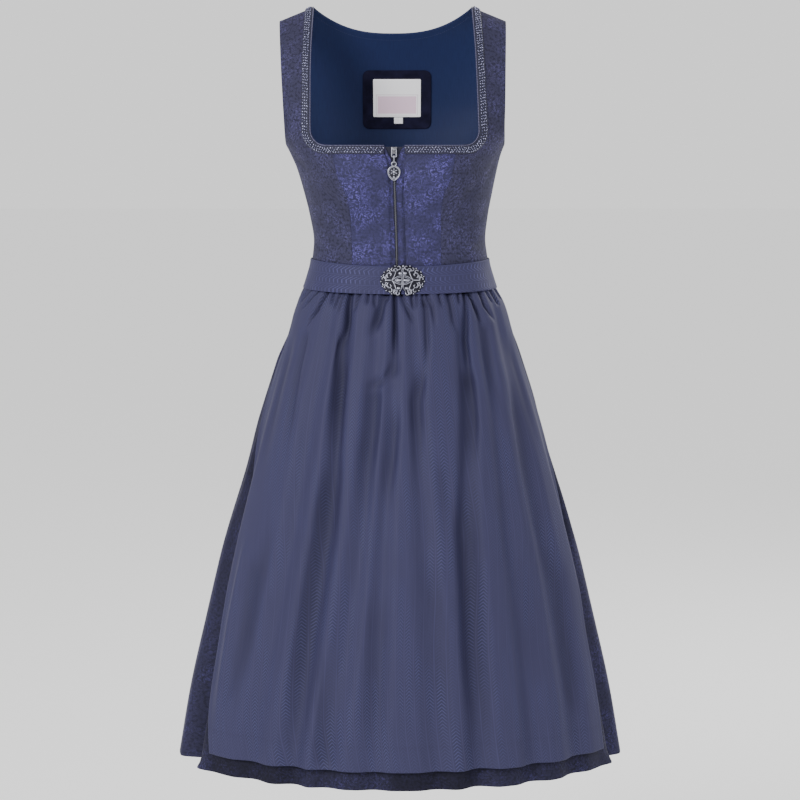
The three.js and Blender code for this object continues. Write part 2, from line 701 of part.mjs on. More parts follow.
/** Stands a shape drawn in X and Z upright, its thickness centred on Y. */
function upright(shape, thickness, curveSegments = 10) {
  const geometry = new THREE.ExtrudeGeometry(shape, {
    depth: thickness,
    bevelEnabled: false,
    curveSegments,
  });
  return geometry.translate(0, 0, -thickness / 2).rotateX(Math.PI / 2);
}

/** A closed wire link with straight bars and round corners, its top bar at height 0. */
function linkGeometry({ half, corner, wire }, drop, plane) {
  const count = 8;
  const bends = [
    { u: half - corner, z: -corner, turn: 0 },
    { u: corner - half, z: -corner, turn: 1 },
    { u: corner - half, z: corner - drop, turn: 2 },
    { u: half - corner, z: corner - drop, turn: 3 },
  ];
  const line = bends.flatMap(({ u, z, turn }) => between(0, Math.PI / 2, 3).map((bend) => {
    const angle = bend + (turn * Math.PI) / 2;
    return [u + corner * Math.cos(angle), z + corner * Math.sin(angle)];
  }));
  const sections = line.map(([u, z], i) => {
    const before = line[(i + line.length - 1) % line.length];
    const after = line[(i + 1) % line.length];
    const along = new THREE.Vector2(after[0] - before[0], after[1] - before[1]).normalize();
    return Array.from({ length: count }, (_, j) => {
      const turn = (j / count) * 2 * Math.PI;
      const off = wire * Math.cos(turn);
      const place = [u + along.y * off, z - along.x * off];
      const side = wire * Math.sin(turn);
      return plane === 'XZ' ? [place[0], side, place[1]] : [-side, place[0], place[1]];
    });
  });
  const index = [];
  sections.forEach((_, i) => {
    const next = ((i + 1) % sections.length) * count;
    for (let j = 0; j < count; j++) {
      const k = (j + 1) % count;
      const [a, b, c, d] = [i * count + j, i * count + k, next + k, next + j];
      index.push(a, b, c, a, c, d);
    }
  });
  const geometry = new THREE.BufferGeometry();
  geometry.setAttribute('position', new THREE.Float32BufferAttribute(sections.flat(2), 3));
  geometry.setIndex(index);
  return geometry;
}

/** The slider: a plate over the teeth, with a bridge that the pull hangs in. */
function sliderGeometry() {
  const face = bodyPoint(bodyAngle(frontMiddle(SLIDER.z), SLIDER.z), SLIDER.z).y;
  const front = face - SLIDER.stand;
  const plate = new THREE.BoxGeometry(SLIDER.width, SLIDER.depth, SLIDER.height);
  plate.translate(0, front + SLIDER.depth / 2, SLIDER.z);
  const bridgeShape = new THREE.Shape();
  const back = front + BRIDGE.sunk;
  const tip = PULL.y - BRIDGE.eye - BRIDGE.wall;
  const half = BRIDGE.height / 2;
  bridgeShape.moveTo(back, half);
  bridgeShape.lineTo(tip + BRIDGE.corner, half);
  bridgeShape.lineTo(tip, half - BRIDGE.corner);
  bridgeShape.lineTo(tip, BRIDGE.corner - half);
  bridgeShape.lineTo(tip + BRIDGE.corner, -half);
  bridgeShape.lineTo(back, -half);
  const eye = new THREE.Path();
  eye.absarc(PULL.y, 0, BRIDGE.eye, 0, 2 * Math.PI);
  bridgeShape.holes.push(eye);
  const bridge = new THREE.ExtrudeGeometry(bridgeShape, {
    depth: BRIDGE.width,
    bevelEnabled: false,
    curveSegments: 12,
  });
  const axes = new THREE.Matrix4().makeBasis(
    new THREE.Vector3(0, 1, 0),
    new THREE.Vector3(0, 0, 1),
    new THREE.Vector3(1, 0, 0),
  );
  bridge.applyMatrix4(axes).translate(-BRIDGE.width / 2, 0, PULL.z);
  return geometryOf(solid(plate).add(solid(bridge)));
}

/** The pendant: a drop with a raised middle, and an eye at its top. */
function pendantGeometry() {
  const outer = PENDANT.eyeRadius + PENDANT.eyeWire;
  const top = -2 * outer + PENDANT.eyeSunk;
  const bottom = top - PENDANT.height;
  const half = PENDANT.width / 2;
  const drop = new THREE.Shape();
  drop.moveTo(0, bottom);
  drop.bezierCurveTo(half * 0.45, bottom + 1, half, top - 12, half, top - 7.5);
  drop.bezierCurveTo(half, top - 2.5, half * 0.6, top, 0, top);
  drop.bezierCurveTo(-half * 0.6, top, -half, top - 2.5, -half, top - 7.5);
  drop.bezierCurveTo(-half, top - 12, -half * 0.45, bottom + 1, 0, bottom);
  const eye = new THREE.Shape().absarc(0, -outer, outer, 0, 2 * Math.PI);
  eye.holes.push(new THREE.Path().absarc(0, -outer, outer - 2 * PENDANT.eyeWire, 0, 2 * Math.PI));
  const boss = new THREE.SphereGeometry(1, 14, 8);
  const { halfWidth, depth, halfHeight, down } = PENDANT_BOSS;
  boss.scale(half * halfWidth, depth, PENDANT.height * halfHeight);
  boss.translate(0, -PENDANT.thick / 2, top - down);
  const joined = solid(upright(drop, PENDANT.thick, 5)).add(solid(upright(eye, PENDANT.thick, 10)));
  return geometryOf(joined.add(solid(boss)));
}

// ---------------------------------------------------------------- the dirndl

const BROCADE = { color: 0x4a4d78, roughness: 0.5, metalness: 0 };
const SIDE_BROCADE = { color: 0x44465f, roughness: 0.55, metalness: 0 };
const SKIRT_BROCADE = { color: 0x35355a, roughness: 0.6, metalness: 0 };
const APRON_WEAVE = { color: 0x4c5074, roughness: 0.55, metalness: 0 };
const LINING_SATIN = { color: 0x1e2b4e, roughness: 0.45, metalness: 0 };
const VELVET = { color: 0x0e0e22, roughness: 0.9, metalness: 0 };
const LABEL_SATIN = { color: 0xe8e6ec, roughness: 0.5, metalness: 0 };
const BRAID_BEADS = { color: 0x8f90a8, roughness: 0.35, metalness: 0.1 };
const OLD_SILVER = { color: 0xa8a6a2, roughness: 0.35, metalness: 1 };
const ZIP_TAPE_WEAVE = { color: 0x1c1d30, roughness: 0.8, metalness: 0 };

const dirndl = new THREE.Group();

function piece(name, geometry, finish) {
  const mesh = new THREE.Mesh(geometry, new THREE.MeshStandardMaterial(finish));
  mesh.name = name;
  dirndl.add(mesh);
  return mesh;
}

const SIDES = [
  { name: 'left', side: -1 },
  { name: 'right', side: 1 },
];
const behindCloth = -CLOTH - SEAM_GAP;
const onLining = behindCloth - LINING - PATCH.clear;
const onPatch = onLining - PATCH.thick - SEAM_GAP;

for (const { name, side } of SIDES) {
  piece(`front_centre_${name}`, wall(bodyPoint, frontCentreRows(side), 0, CLOTH), BROCADE);
  piece(`front_side_${name}`, wall(bodyPoint, frontSideRows(side), 0, CLOTH), SIDE_BROCADE);
  const braid = wall(bodyPoint, braidRows(side), BRAID.clear + BRAID.thick, BRAID.thick);
  piece(`neck_braid_${name}`, braid, BRAID_BEADS);
  const tape = zipRows(side, ZIP_TAPE.near, ZIP_TAPE.far, UNDERARM_Z - 1.5);
  piece(`zip_tape_${name}`, wall(bodyPoint, tape, behindCloth, ZIP_TAPE.thick), ZIP_TAPE_WEAVE);
  const clasp = wall(bandPoint, claspRows(side), SEAM_GAP + CLASP.thick, CLASP.thick);
  piece(`clasp_${name}`, clasp, OLD_SILVER);
}

const chain = zipRows(1, -ZIP_CHAIN.half, ZIP_CHAIN.half, ZIP_CHAIN.top);
piece('zip_chain', wall(bodyPoint, chain, ZIP_CHAIN.front, ZIP_CHAIN.thick), OLD_SILVER);

const back = backRows(10, 3);
piece('bodice_back', wall(bodyPoint, back, 0, CLOTH), SIDE_BROCADE);
piece('back_lining', wall(bodyPoint, back, behindCloth, LINING), LINING_SATIN);
piece('label_patch', wall(bodyPoint, patchRows(PATCH, 6, 6), onLining, PATCH.thick), VELVET);
piece('label', wall(bodyPoint, patchRows(LABEL, 5, 4), onPatch, LABEL.thick), LABEL_SATIN);
piece('size_tag', wall(bodyPoint, patchRows(TAG, 2, 2), onPatch, TAG.thick), LABEL_SATIN);

piece('skirt_front', wall(skirtPoint, skirtFrontRows(), 0, SKIRT_CLOTH, 0.006), SKIRT_BROCADE);
piece('skirt_back', wall(skirtPoint, skirtBackRows(), 0, SKIRT_CLOTH, 0.006), SKIRT_BROCADE);
piece('apron', wall(apronPoint, apronRows(), 0, APRON_CLOTH, 0.0015), APRON_WEAVE);
piece('apron_band', wall(bandPoint, bandRows(), 0, BAND_CLOTH), APRON_WEAVE);

const zipX = frontMiddle(SLIDER.z);
piece('zip_slider', sliderGeometry().translate(zipX, 0, 0), OLD_SILVER);
const pull = piece('zip_pull', linkGeometry(PULL, PULL.drop, 'XZ'), OLD_SILVER);
pull.position.set(zipX, PULL.y, PULL.z);
const link = piece('zip_link', linkGeometry(LINK, LINK.drop + LINK.top, 'YZ'), OLD_SILVER);
link.position.set(zipX, PULL.y, PULL.z - PULL.drop + LINK.top);
const pendant = piece('zip_pendant', pendantGeometry(), OLD_SILVER);
const linkFloor = link.position.z - LINK.drop - LINK.top + LINK.wire;
const pendantTop = linkFloor + SEAM_GAP + 2 * PENDANT.eyeWire;
pendant.position.set(zipX, PULL.y, pendantTop);

export default dirndl;
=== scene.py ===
"""Dirndl with its apron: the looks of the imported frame.

Tables and forms are in millimetres, with +Z up and the front facing -Y. The origin lies
midway between the shoulders. Points are turned to metres where a mesh is made.
"""

import logging
import math
from collections.abc import Callable, Iterable, Sequence
from dataclasses import dataclass, field
from enum import Enum
from functools import partial

import bmesh
import bpy
import numpy as np
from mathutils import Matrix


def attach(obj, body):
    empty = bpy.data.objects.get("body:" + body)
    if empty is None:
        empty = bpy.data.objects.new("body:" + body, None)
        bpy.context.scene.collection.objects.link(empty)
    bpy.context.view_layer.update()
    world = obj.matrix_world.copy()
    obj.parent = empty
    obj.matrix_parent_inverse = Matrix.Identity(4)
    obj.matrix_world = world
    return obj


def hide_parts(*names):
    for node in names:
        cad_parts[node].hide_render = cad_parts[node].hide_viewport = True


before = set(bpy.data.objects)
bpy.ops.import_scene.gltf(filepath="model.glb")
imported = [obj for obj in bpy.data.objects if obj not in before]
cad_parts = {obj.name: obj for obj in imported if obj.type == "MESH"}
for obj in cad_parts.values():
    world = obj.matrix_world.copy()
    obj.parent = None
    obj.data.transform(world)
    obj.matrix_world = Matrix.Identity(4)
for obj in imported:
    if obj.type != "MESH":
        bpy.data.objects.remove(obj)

LOG = logging.getLogger("dirndl")
MM = 0.001
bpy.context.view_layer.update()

Array = np.ndarray
Pair = tuple[float, float]
Triple = tuple[float, float, float]
Surface = Callable[[Array, Array], Array]
Faces = Sequence[Sequence[int]]
Piece = bpy.types.Object
Material = bpy.types.Material
Socket = bpy.types.NodeSocket
Adder = Callable[..., Socket]


class Side(Enum):
    """A side of the garment as it is seen from the front."""

    LEFT = -1
    RIGHT = 1


class Body(Enum):
    """The bodies of the frame that pieces ride on."""

    DRESS = "dress"
    PULL = "pull"
    PENDANT = "pendant"


class Held(Enum):
    """How a sheet of cloth is held."""

    HUNG = "hung"
    GATHERED = "gathered"
    STRETCHED = "stretched"
    LAID = "laid"


# ---------------------------------------------------------------- sizes shared with the frame

CLOTH = 1.8
SKIRT_CLOTH = 1.6
APRON_CLOTH = 1.5
LINING = 1.0
SEAM_GAP = 0.3
SEAM_LINE = 0.06
ON_CLOTH = 0.05
UNDERARM_Z = -188.0
WAIST_SEAM_Z = -366.0
SKIRT_HEM_Z = -1036.0
APRON_HEM_Z = -1010.0
NECK_HALF_WIDTH = 108.0
NECK_CORNER_RADIUS = 20.0


def smooth(start: float, end: float, value: Array | float) -> Array:
    """A soft step of the value, from 0 at start to 1 at end."""
    share = np.clip((np.asarray(value, float) - start) / (end - start), 0.0, 1.0)
    return share * share * (3.0 - 2.0 * share)


def linear(colour: str) -> tuple[float, float, float, float]:
    """Turns an sRGB hex colour to linear light.

    Args:
        colour: Colour as "#rrggbb".

    Returns:
        Linear red, green, blue and an alpha of 1.
    """
    channels = [int(colour[i : i + 2], 16) / 255 for i in (1, 3, 5)]
    red, green, blue = (
        c / 12.92 if c <= 0.04045 else ((c + 0.055) / 1.055) ** 2.4 for c in channels
    )
    return red, green, blue, 1.0


# ---------------------------------------------------------------- forms


class Curve:
    """A smooth curve through a few values, with no overshoot between them."""

    def __init__(self, places: Sequence[float], values: Sequence[float]) -> None:
        """Works out the tangents.

        Args:
            places: Rising places.
            values: The value at each place.
        """
        self.places = np.asarray(places, float)
        self.values = np.asarray(values, float)
        slopes = np.diff(self.values) / np.diff(self.places)
        before = np.concatenate((slopes[:1], slopes))
        after = np.concatenate((slopes, slopes[-1:]))
        same_way = before * after > 0
        total = np.where(same_way, before + after, 1.0)
        self.tangents = np.where(same_way, 2.0 * before * after / total, 0.0)

    def __call__(self, place: Array | float) -> Array:
        """Reads the curve.

        Args:
            place: Places to read it at.

        Returns:
            The value at each place.
        """
        x = np.clip(place, self.places[0], self.places[-1])
        i = np.clip(np.searchsorted(self.places, x) - 1, 0, len(self.places) - 2)
        step = self.places[i + 1] - self.places[i]
        t = (x - self.places[i]) / step
        leave = (1 - t) * (1 - t) * t * step * self.tangents[i]
        arrive = t * t * (1 - t) * step * self.tangents[i + 1]
        ease = t * t * (3 - 2 * t)
        return self.values[i] * (1 - ease) + self.values[i + 1] * ease + leave - arrive


@dataclass(frozen=True)
class Level:
    """An egg-shaped section at one height. Depths are before and behind its middle."""

    z: float
    half: float
    front: float
    back: float
    shift: float = 10.0


class EggForm:
    """A form made of egg-shaped sections. Turn 0 is the front, and it grows towards +X."""

    def __init__(self, levels: Sequence[Level], squareness: float) -> None:
        """Runs curves through the sections.

        Args:
            levels: Sections from the lowest to the highest.
            squareness: 2 for an ellipse, and more for squarer sections.
        """
        heights = [level.z for level in levels]
        self.squareness = squareness
        self.half = Curve(heights, [level.half for level in levels])
        self.front = Curve(heights, [level.front for level in levels])
        self.back = Curve(heights, [level.back for level in levels])
        self.shift = Curve(heights, [level.shift for level in levels])

    def ring(self, turn: Array, half: Array, front: Array, back: Array) -> tuple[Array, Array]:
        """Places on a section, from its middle.

        Args:
            turn: Turns in radians.
            half: Half-widths.
            front: Depths in front.
            back: Depths behind.

        Returns:
            X and Y.
        """
        sine, cosine = np.sin(turn), np.cos(turn)
        total = np.abs(sine) ** self.squareness + np.abs(cosine) ** self.squareness
        reach = total ** (-1 / self.squareness)
        depth = np.where(cosine > 0, front, back)
        return half * sine * reach, -depth * cosine * reach

    def turn_at(self, share: Array | float) -> Array:
        """The turn at which a section has the given share of its half-width."""
        u = np.clip(share, 0.0, 0.99999)
        return np.arctan(u / (1 - u**self.squareness) ** (1 / self.squareness))


@dataclass(frozen=True)
class Fall:
    """How the depth of the chest or the back falls off towards the shoulder ridge."""

    bend: float
    power: float

    def share(self, rise: Array) -> Array:
        """The share of the depth that is left at a rise from the underarm, 0 to 1."""
        return (1 - rise**self.bend) ** self.power

    def levels(self, depth: float, count: int) -> Array:
        """Levels from just above the underarm to the ridge, evenly spaced over the cloth.

        Args:
            depth: Depth of the chest or the back at the underarm.
            count: Number of levels.

        Returns:
            Rising levels, the last just short of the ridge.
        """
        rise = 1 - np.linspace(1, 0, 4000) ** 2
        run = np.hypot(np.diff(depth * self.share(rise)), np.diff(-UNDERARM_Z * rise))
        length = np.concatenate(([0.0], np.cumsum(run)))
        end = np.interp(RIDGE_DEPTH, self.share(rise)[::-1], length[::-1])
        return UNDERARM_Z * (1 - np.interp(np.linspace(0, end, count + 1)[1:], length, rise))


RIDGE_DEPTH = 0.0003
CHEST_DEPTH = 108
BACK_DEPTH = 89
UNDERARM_RISE = 178
BACK_NECK_DIP = 33.0
FRONT_FALL = Fall(bend=1.3, power=0.62)
BACK_FALL = Fall(bend=2.2, power=0.55)


class BodiceForm(EggForm):
    """The outer face of the bodice. A level is a height before the shoulders slope."""

    SHOULDER_SLOPE = 0.41
    BUST_FULLNESS = 22.0
    BUST_TURN = math.radians(30)
    BUST_SPREAD = math.radians(26)
    BUST_Z = -228.0
    BUST_SPREAD_Z = 48.0

    def rise(self, level: Array) -> Array:
        """How far up from the underarm to the ridge a level is, 0 to 1."""
        return np.clip((level - UNDERARM_Z) / -UNDERARM_Z, 0.0, 1.0)

    def bust(self, turn: Array, level: Array) -> Array:
        """How far the bust stands out at a place.

        Args:
            turn: Turns in radians.
            level: Levels.

        Returns:
            Distances in millimetres.
        """
        across = sum(
            np.exp(-(((turn - side * self.BUST_TURN) / self.BUST_SPREAD) ** 2)) for side in (-1, 1)
        )
        down = (level - self.BUST_Z) / self.BUST_SPREAD_Z
        return self.BUST_FULLNESS * across * np.exp(-down * down)

    def point(self, turn: Array, level: Array) -> Array:
        """Places on the bodice's outer face.

        Args:
            turn: Turns in radians.
            level: Levels.

        Returns:
            Points, with X, Y and Z last.
        """
        rise = self.rise(level)
        front_share, back_share = FRONT_FALL.share(rise), BACK_FALL.share(rise)
        front, back = self.front(level) * front_share, self.back(level) * back_share
        x, y = self.ring(turn, self.half(level), front, back)
        bust = np.where(np.cos(turn) > 0, self.bust(turn, level) * front_share, 0.0)
        beyond_neck = np.maximum(0, np.abs(x) - NECK_HALF_WIDTH)
        drop = self.SHOULDER_SLOPE * beyond_neck * rise * rise
        return np.stack((x + self.shift(level), y - bust, level - drop), axis=-1)

    def turn(self, x: Array, level: Array) -> Array:
        """The turn of the front at a place x on a level."""
        away = x - self.shift(level)
        return np.sign(away) * self.turn_at(np.abs(away) / self.half(level))

    def back_turn(self, away: Array, level: Array) -> Array:
        """The turn of the back at a distance from the section's middle."""
        return math.pi - np.sign(away) * self.turn_at(np.abs(away) / self.half(level))


BODICE = BodiceForm(
    [
        Level(-366, 122.8, 92.5, 79.5, 10),
        Level(-343, 121.0, 91.0, 77.0, 10),
        Level(-318, 118.4, 92.0, 77.0, 9.5),
        Level(-285, 122.6, 97.5, 80.5, 8.5),
        Level(-252, 129.7, 103.0, 84.5, 7.5),
        Level(-219, 138.0, 106.5, 87.5, 6),
        Level(-203, 143.4, 107.5, 88.5, 4.5),
        Level(-188, 150.0, 108.0, 89.0, 3.5),
        Level(-160, 167.0, 108.0, 91.0, 2.5),
        Level(-130, 179.0, 108.0, 92.0, 2),
        Level(-80, 186.0, 108.0, 92.0, 1),
        Level(0, 186.0, 108.0, 92.0, 0),
    ],
    squareness=2.3,
)

SEAM_LEVELS = (-366, -335, -286, -258, -230, -188)
ZIP_CENTRE = Curve(SEAM_LEVELS, (-4.4, -4.4, -4.4, -4.4, -4.0, -1.5))
PRINCESS_SEAM = Curve(SEAM_LEVELS, (60.5, 60, 60.5, 64.5, 76, 84.6))
STRAP_LEVELS = (-188, -165, -130, -72, 0)
STRAP_NECK = Curve(STRAP_LEVELS, (113, 113, 112.5, 111.5, 108))
STRAP_ARM = Curve(STRAP_LEVELS, (150, 149.5, 150.5, 152.5, 155))


def front_middle(z: Array | float) -> Array:
    """X of the zip at a height."""
    return BODICE.shift(z) + ZIP_CENTRE(z)


def front_opening(z: Array | float) -> Array:
    """Half the opening between the front edges: a slit that spreads into a small V."""
    share = np.clip(1 - (UNDERARM_Z - np.asarray(z, float)) / 27, 0, 1)
    return 1.8 + 11 * share**1.3


def back_neck(away: Array) -> Array:
    """Height of the back's scooped neck at a distance from its middle."""
    return -BACK_NECK_DIP * (1 - (np.abs(away) / NECK_HALF_WIDTH) ** 2.6)


def neck_edge(level: Array) -> Array:
    """Half-width of the neck opening, with its rounded lower corner.

    Args:
        level: Levels.

    Returns:
        Half-widths in millimetres.
    """
    below = STRAP_NECK(level) - NECK_CORNER_RADIUS
    up = np.clip((UNDERARM_Z + NECK_CORNER_RADIUS - level) / NECK_CORNER_RADIUS, 0, 1)
    return below + NECK_CORNER_RADIUS * np.sqrt(1 - up * up)


@dataclass(frozen=True)
class Fold:
    """The valley of a large fold, at the top, half way and at the hem of the skirt.

    Args:
        turns: Turns in degrees.
        depths: Depths in millimetres.
        width: Half of its width, in degrees.
    """

    turns: tuple[float, float, float]
    depths: tuple[float, float, float]
    width: float

    LEVELS = (-1036.0, -700.0, -420.0)

    def sink(self, turn: Array, z: Array) -> Array:
        """How far the fold sinks at places, in millimetres.

        Args:
            turn: Turns in radians.
            z: Heights.

        Returns:
            Depths in millimetres.
        """
        place = np.radians(np.interp(z, self.LEVELS, self.turns[::-1]))
        away = turn - place
        away = np.abs(np.arctan2(np.sin(away), np.cos(away))) / math.radians(self.width)
        share = np.where(away < 1, np.cos(away * math.pi / 2), 0.0)
        depth = np.interp(z, self.LEVELS, self.depths[::-1])
        return depth * share * share * (1 - smooth(self.LEVELS[2], WAIST_SEAM_Z, z))


FOLDS = (
    Fold((-38, -37, -41), (4, 9, 9), 7),
    Fold((-27, -24, -28.5), (7, 13, 11), 5.5),
    Fold((-11, -12.5, -19), (4, 8, 7), 5.5),
    Fold((-2, -5.5, -6.5), (4, 8, 6), 5),
    Fold((7, 8, 9.5), (4, 7, 7), 5.5),
    Fold((33, 22, 20.5), (6, 13, 13), 6),
    Fold((45, 38, 36), (3, 7, 10), 6),
    Fold((60, 53, 51), (3, 10, 9), 7),
    Fold((74, 75, 76), (0, 7, 20), 7),
    Fold((105, 104, 106), (2, 15, 34), 9),
    Fold((124, 126, 124), (4, 13, 26), 8),
    Fold((141, 144, 147), (4, 18, 42), 10),
    Fold((163, 164, 166), (4, 13, 27), 8),
    Fold((184, 182, 183), (3, 15, 36), 9),
    Fold((203, 203, 201), (4, 12, 25), 8),
    Fold((221, 220, 221), (3, 17, 40), 10),
    Fold((240, 241, 239), (4, 12, 24), 8),
    Fold((256, 257, 256), (2, 12, 31), 8),
    Fold((-73, -72, -71), (0, 14, 46), 9),
)


class SkirtForm(EggForm):
    """The line of the skirt with its large folds, and the apron before it."""

    APRON_LEVELS = (-1036, -950, -860, -770, -700, -560, -380)
    APRON_LEFT = Curve(APRON_LEVELS, (-54.5, -60, -62, -65, -70, -79, -83))
    APRON_RIGHT = Curve(APRON_LEVELS, (63.5, 65, 66.5, 71, 76, 81, 83))
    APRON_STAND = 2.0
    UNDER_APRON = 7.5
    UNDER_APRON_RUN = 7.0

    def line(self, turn: Array, z: Array, out: Array | float) -> Array:
        """Places on the skirt's line, moved out by a distance.

        Args:
            turn: Turns in radians.
            z: Heights.
            out: Distance before the line.

        Returns:
            Points, with X, Y and Z last.
        """
        x, y = self.ring(turn, self.half(z), self.front(z), self.back(z))
        reach = out - self.sink(turn, z)
        x = x + self.shift(z) + reach * np.sin(turn)
        return np.stack((x, y - reach * np.cos(turn), z + 0 * x), axis=-1)

    def sink(self, turn: Array, z: Array) -> Array:
        """How far the large folds sink at places, in millimetres."""
        return sum(fold.sink(turn, z) for fold in FOLDS)

    def reach(self, z: Array) -> Array:
        """Distance from the skirt's middle to its front, about as it is seen."""
        return (self.half(z) + self.front(z)) / 2

    def cover(self, turn: Array, z: Array) -> Array:
        """How far the skirt draws back under the apron: 1 below it and 0 beside it.

        Args:
            turn: Turns in radians.
            z: Heights.

        Returns:
            Shares from 0 to 1.
        """
        degrees = np.degrees(np.arctan2(np.sin(turn), np.cos(turn)))
        left, right, run = self.APRON_LEFT(z), self.APRON_RIGHT(z), self.UNDER_APRON_RUN
        from_left = smooth(0, 1, (degrees - left + run) / run)
        from_right = 1 - smooth(0, 1, (degrees - right) / run)
        return np.minimum(from_left, from_right) * (1 - smooth(-383.5, WAIST_SEAM_Z, z))

    def skirt(self, turn: Array, z: Array) -> Array:
        """Places on the skirt's outer face, before its gathers."""
        return self.line(turn, z, -self.UNDER_APRON * self.cover(turn, z))

    def apron_turn(self, share: Array, z: Array) -> Array:
        """The turn in radians at a share of the way from the apron's left edge to its right.

        Args:
            share: Shares of the way across, from 0 to 1.
            z: Heights.

        Returns:
            Turns in radians.
        """
        left, right = self.APRON_LEFT(z), self.APRON_RIGHT(z)
        uneven = 0.011 * (np.sin(6 * math.pi * share + 1) - math.sin(1))
        return np.radians(left + (right - left) * np.clip(share + uneven, 0, 1))

    def apron(self, share: Array, z: Array) -> Array:
        """Places on the apron's face, before its gathers."""
        return self.line(self.apron_turn(share, z), z, self.APRON_STAND)


SKIRT = SkirtForm(
    [
        Level(-1036, 311.0, 236.0, 238.0),
        Level(-944, 295.0, 224.0, 225.0),
        Level(-841, 271.5, 206.0, 207.0),
        Level(-738, 246.8, 187.0, 187.0),
        Level(-637, 218.7, 165.0, 164.0),
        Level(-552, 193.7, 146.0, 144.0),
        Level(-485, 171.5, 129.5, 124.0),
        Level(-435, 153.4, 116.0, 108.0),
        Level(-402, 141.0, 106.0, 96.0),
        Level(-385, 131.5, 98.5, 87.0),
        Level(-366, 122.8, 92.5, 79.5),
    ],
    squareness=2.08,
)


class BandForm(EggForm):
    """The outer face of the apron's band."""

    TOP_Z = -343.0
    BOTTOM_Z = -383.5
    TOP_DIP = 7.0
    BOTTOM_DIP = 3.5

    def point(self, turn: Array, z: Array) -> Array:
        """Places on the band's outer face."""
        x, y = self.ring(turn, self.half(z), self.front(z), self.back(z))
        return np.stack((x + self.shift(z), y, z + 0 * x), axis=-1)

    def top(self, turn: Array) -> Array:
        """Height of the band's upper edge, which sits lower at the front."""
        return self.TOP_Z - self.TOP_DIP * np.maximum(0, np.cos(turn)) ** 2

    def bottom(self, turn: Array) -> Array:
        """Height of the band's lower edge."""
        return self.BOTTOM_Z - self.BOTTOM_DIP * np.maximum(0, np.cos(turn)) ** 2


BAND = BandForm(
    [
        Level(-390, 136.6, 105.2, 94.6),
        Level(-368, 129.6, 99.0, 86.0),
        Level(-352, 125.0, 95.2, 81.4),
        Level(-338, 122.6, 93.0, 79.0),
    ],
    squareness=2.3,
)


def outward(surface: Surface, across: Array, up: Array, step: float = 0.004) -> Array:
    """The outward direction of a form. It is square to the shoulder and side seams.

    Args:
        surface: The form.
        across: Places across.
        up: Places up.
        step: Step across over which the slope is read.

    Returns:
        Directions of length 1.
    """
    side = surface(across + step, up) - surface(across - step, up)
    climb = np.where(np.abs(up) > 0, np.minimum(0.4, np.abs(up) / 2), 0.4)
    normal = np.cross(side, surface(across, up + climb) - surface(across, up - climb))
    at_seam = (up > -0.05) | (np.abs(np.cos(across)) < 0.01)
    normal[..., 1] = np.where(at_seam, 0.0, normal[..., 1])
    return normal / np.linalg.norm(normal, axis=-1, keepdims=True)


@dataclass(frozen=True)
class Crease:
    """A soft trough in the cloth, or a ridge where its depth is below zero.

    Args:
        line: Its places, each a turn in degrees and a height in millimetres.
        depth: How far it sinks.
        width: Half of its width.
        steep: Share of that width on its side towards +X, where the cloth is pushed up.
        head: Share of its length over which it sets in.
        tail: Share of its length over which it dies away.
    """

    line: tuple[Pair, ...]
    depth: float
    width: float
    head: float = 0.0
    tail: float = 0.5
    steep: float = 1.0

    def sink(self, turn: Array, z: Array, reach: Array) -> Array:
        """How far the cloth sinks at places.

        Args:
            turn: Turns in degrees.
            z: Heights.
            reach: Distance from the middle of the body, in millimetres.

        Returns:
            Depths in millimetres.
        """
        scale = np.radians(reach)
        nearest = np.full(turn.shape, 1e6)
        along = np.zeros(turn.shape)
        width = np.full(turn.shape, self.width)
        spans = list(zip(self.line, self.line[1:]))
        for i, ((turn_0, z_0), (turn_1, z_1)) in enumerate(spans):
            run, climb = (turn_1 - turn_0) * scale, z_1 - z_0
            x, y = ((turn - turn_0 + 180) % 360 - 180) * scale, z - z_0
            share = np.clip((x * run + y * climb) / (run * run + climb * climb), 0, 1)
            away = np.hypot(x - share * run, y - share * climb)
            along = np.where(away < nearest, (i + share) / len(spans), along)
            side = np.where(x * climb < y * run, self.steep, 1.0)
            width = np.where(away < nearest, self.width * side, width)
            nearest = np.minimum(nearest, away)
        fade = 1 - smooth(1 - self.tail, 1, along)
        if self.head:
            fade = fade * smooth(0, self.head, along)
        return self.depth * np.exp(-((nearest / width) ** 2)) * fade


def creases(rows: Iterable[tuple]) -> tuple[Crease, ...]:
    """Creases from rows: (turn, height, turn, height ...), depth, width, head, tail, steep."""
    return tuple(Crease(tuple(zip(line[::2], line[1::2])), *sizes) for line, *sizes in rows)


def creased(made: Iterable[Crease], turn: Array, z: Array, reach: Array) -> Array:
    """The sum of many creases at places, as a height of the cloth over its form."""
    return -sum(crease.sink(turn, z, reach) for crease in made)


# ---------------------------------------------------------------- meshes


def new_object(
    name: str, points: Array, faces: Faces, cloth: Array | None = None, worn: Array | None = None
) -> Piece:
    """Makes a smooth mesh object.

    Args:
        name: Name of the piece.
        points: Points in millimetres.
        faces: Corners of each face.
        cloth: For each point, its place on the flat cloth in metres.
        worn: For each point, how far it lies in a recess, from 0 to 1: patina on the metal, painted
            shade on the cloth.

    Returns:
        The object, linked into the scene.
    """
    mesh = bpy.data.meshes.new(name)
    mesh.from_pydata((np.asarray(points) * MM).tolist(), [], faces)
    mesh.polygons.foreach_set("use_smooth", [True] * len(mesh.polygons))
    if cloth is not None:
        corners = np.empty(len(mesh.loops), int)
        mesh.loops.foreach_get("vertex_index", corners)
        mesh.uv_layers.new(name="cloth").data.foreach_set("uv", cloth[corners].ravel())
    if worn is not None:
        layer = mesh.attributes.new("recess", "FLOAT", "POINT")
        layer.data.foreach_set("value", np.asarray(worn, np.float32))
    mesh.update()
    made = bpy.data.objects.new(name, mesh)
    bpy.context.scene.collection.objects.link(made)
    return made


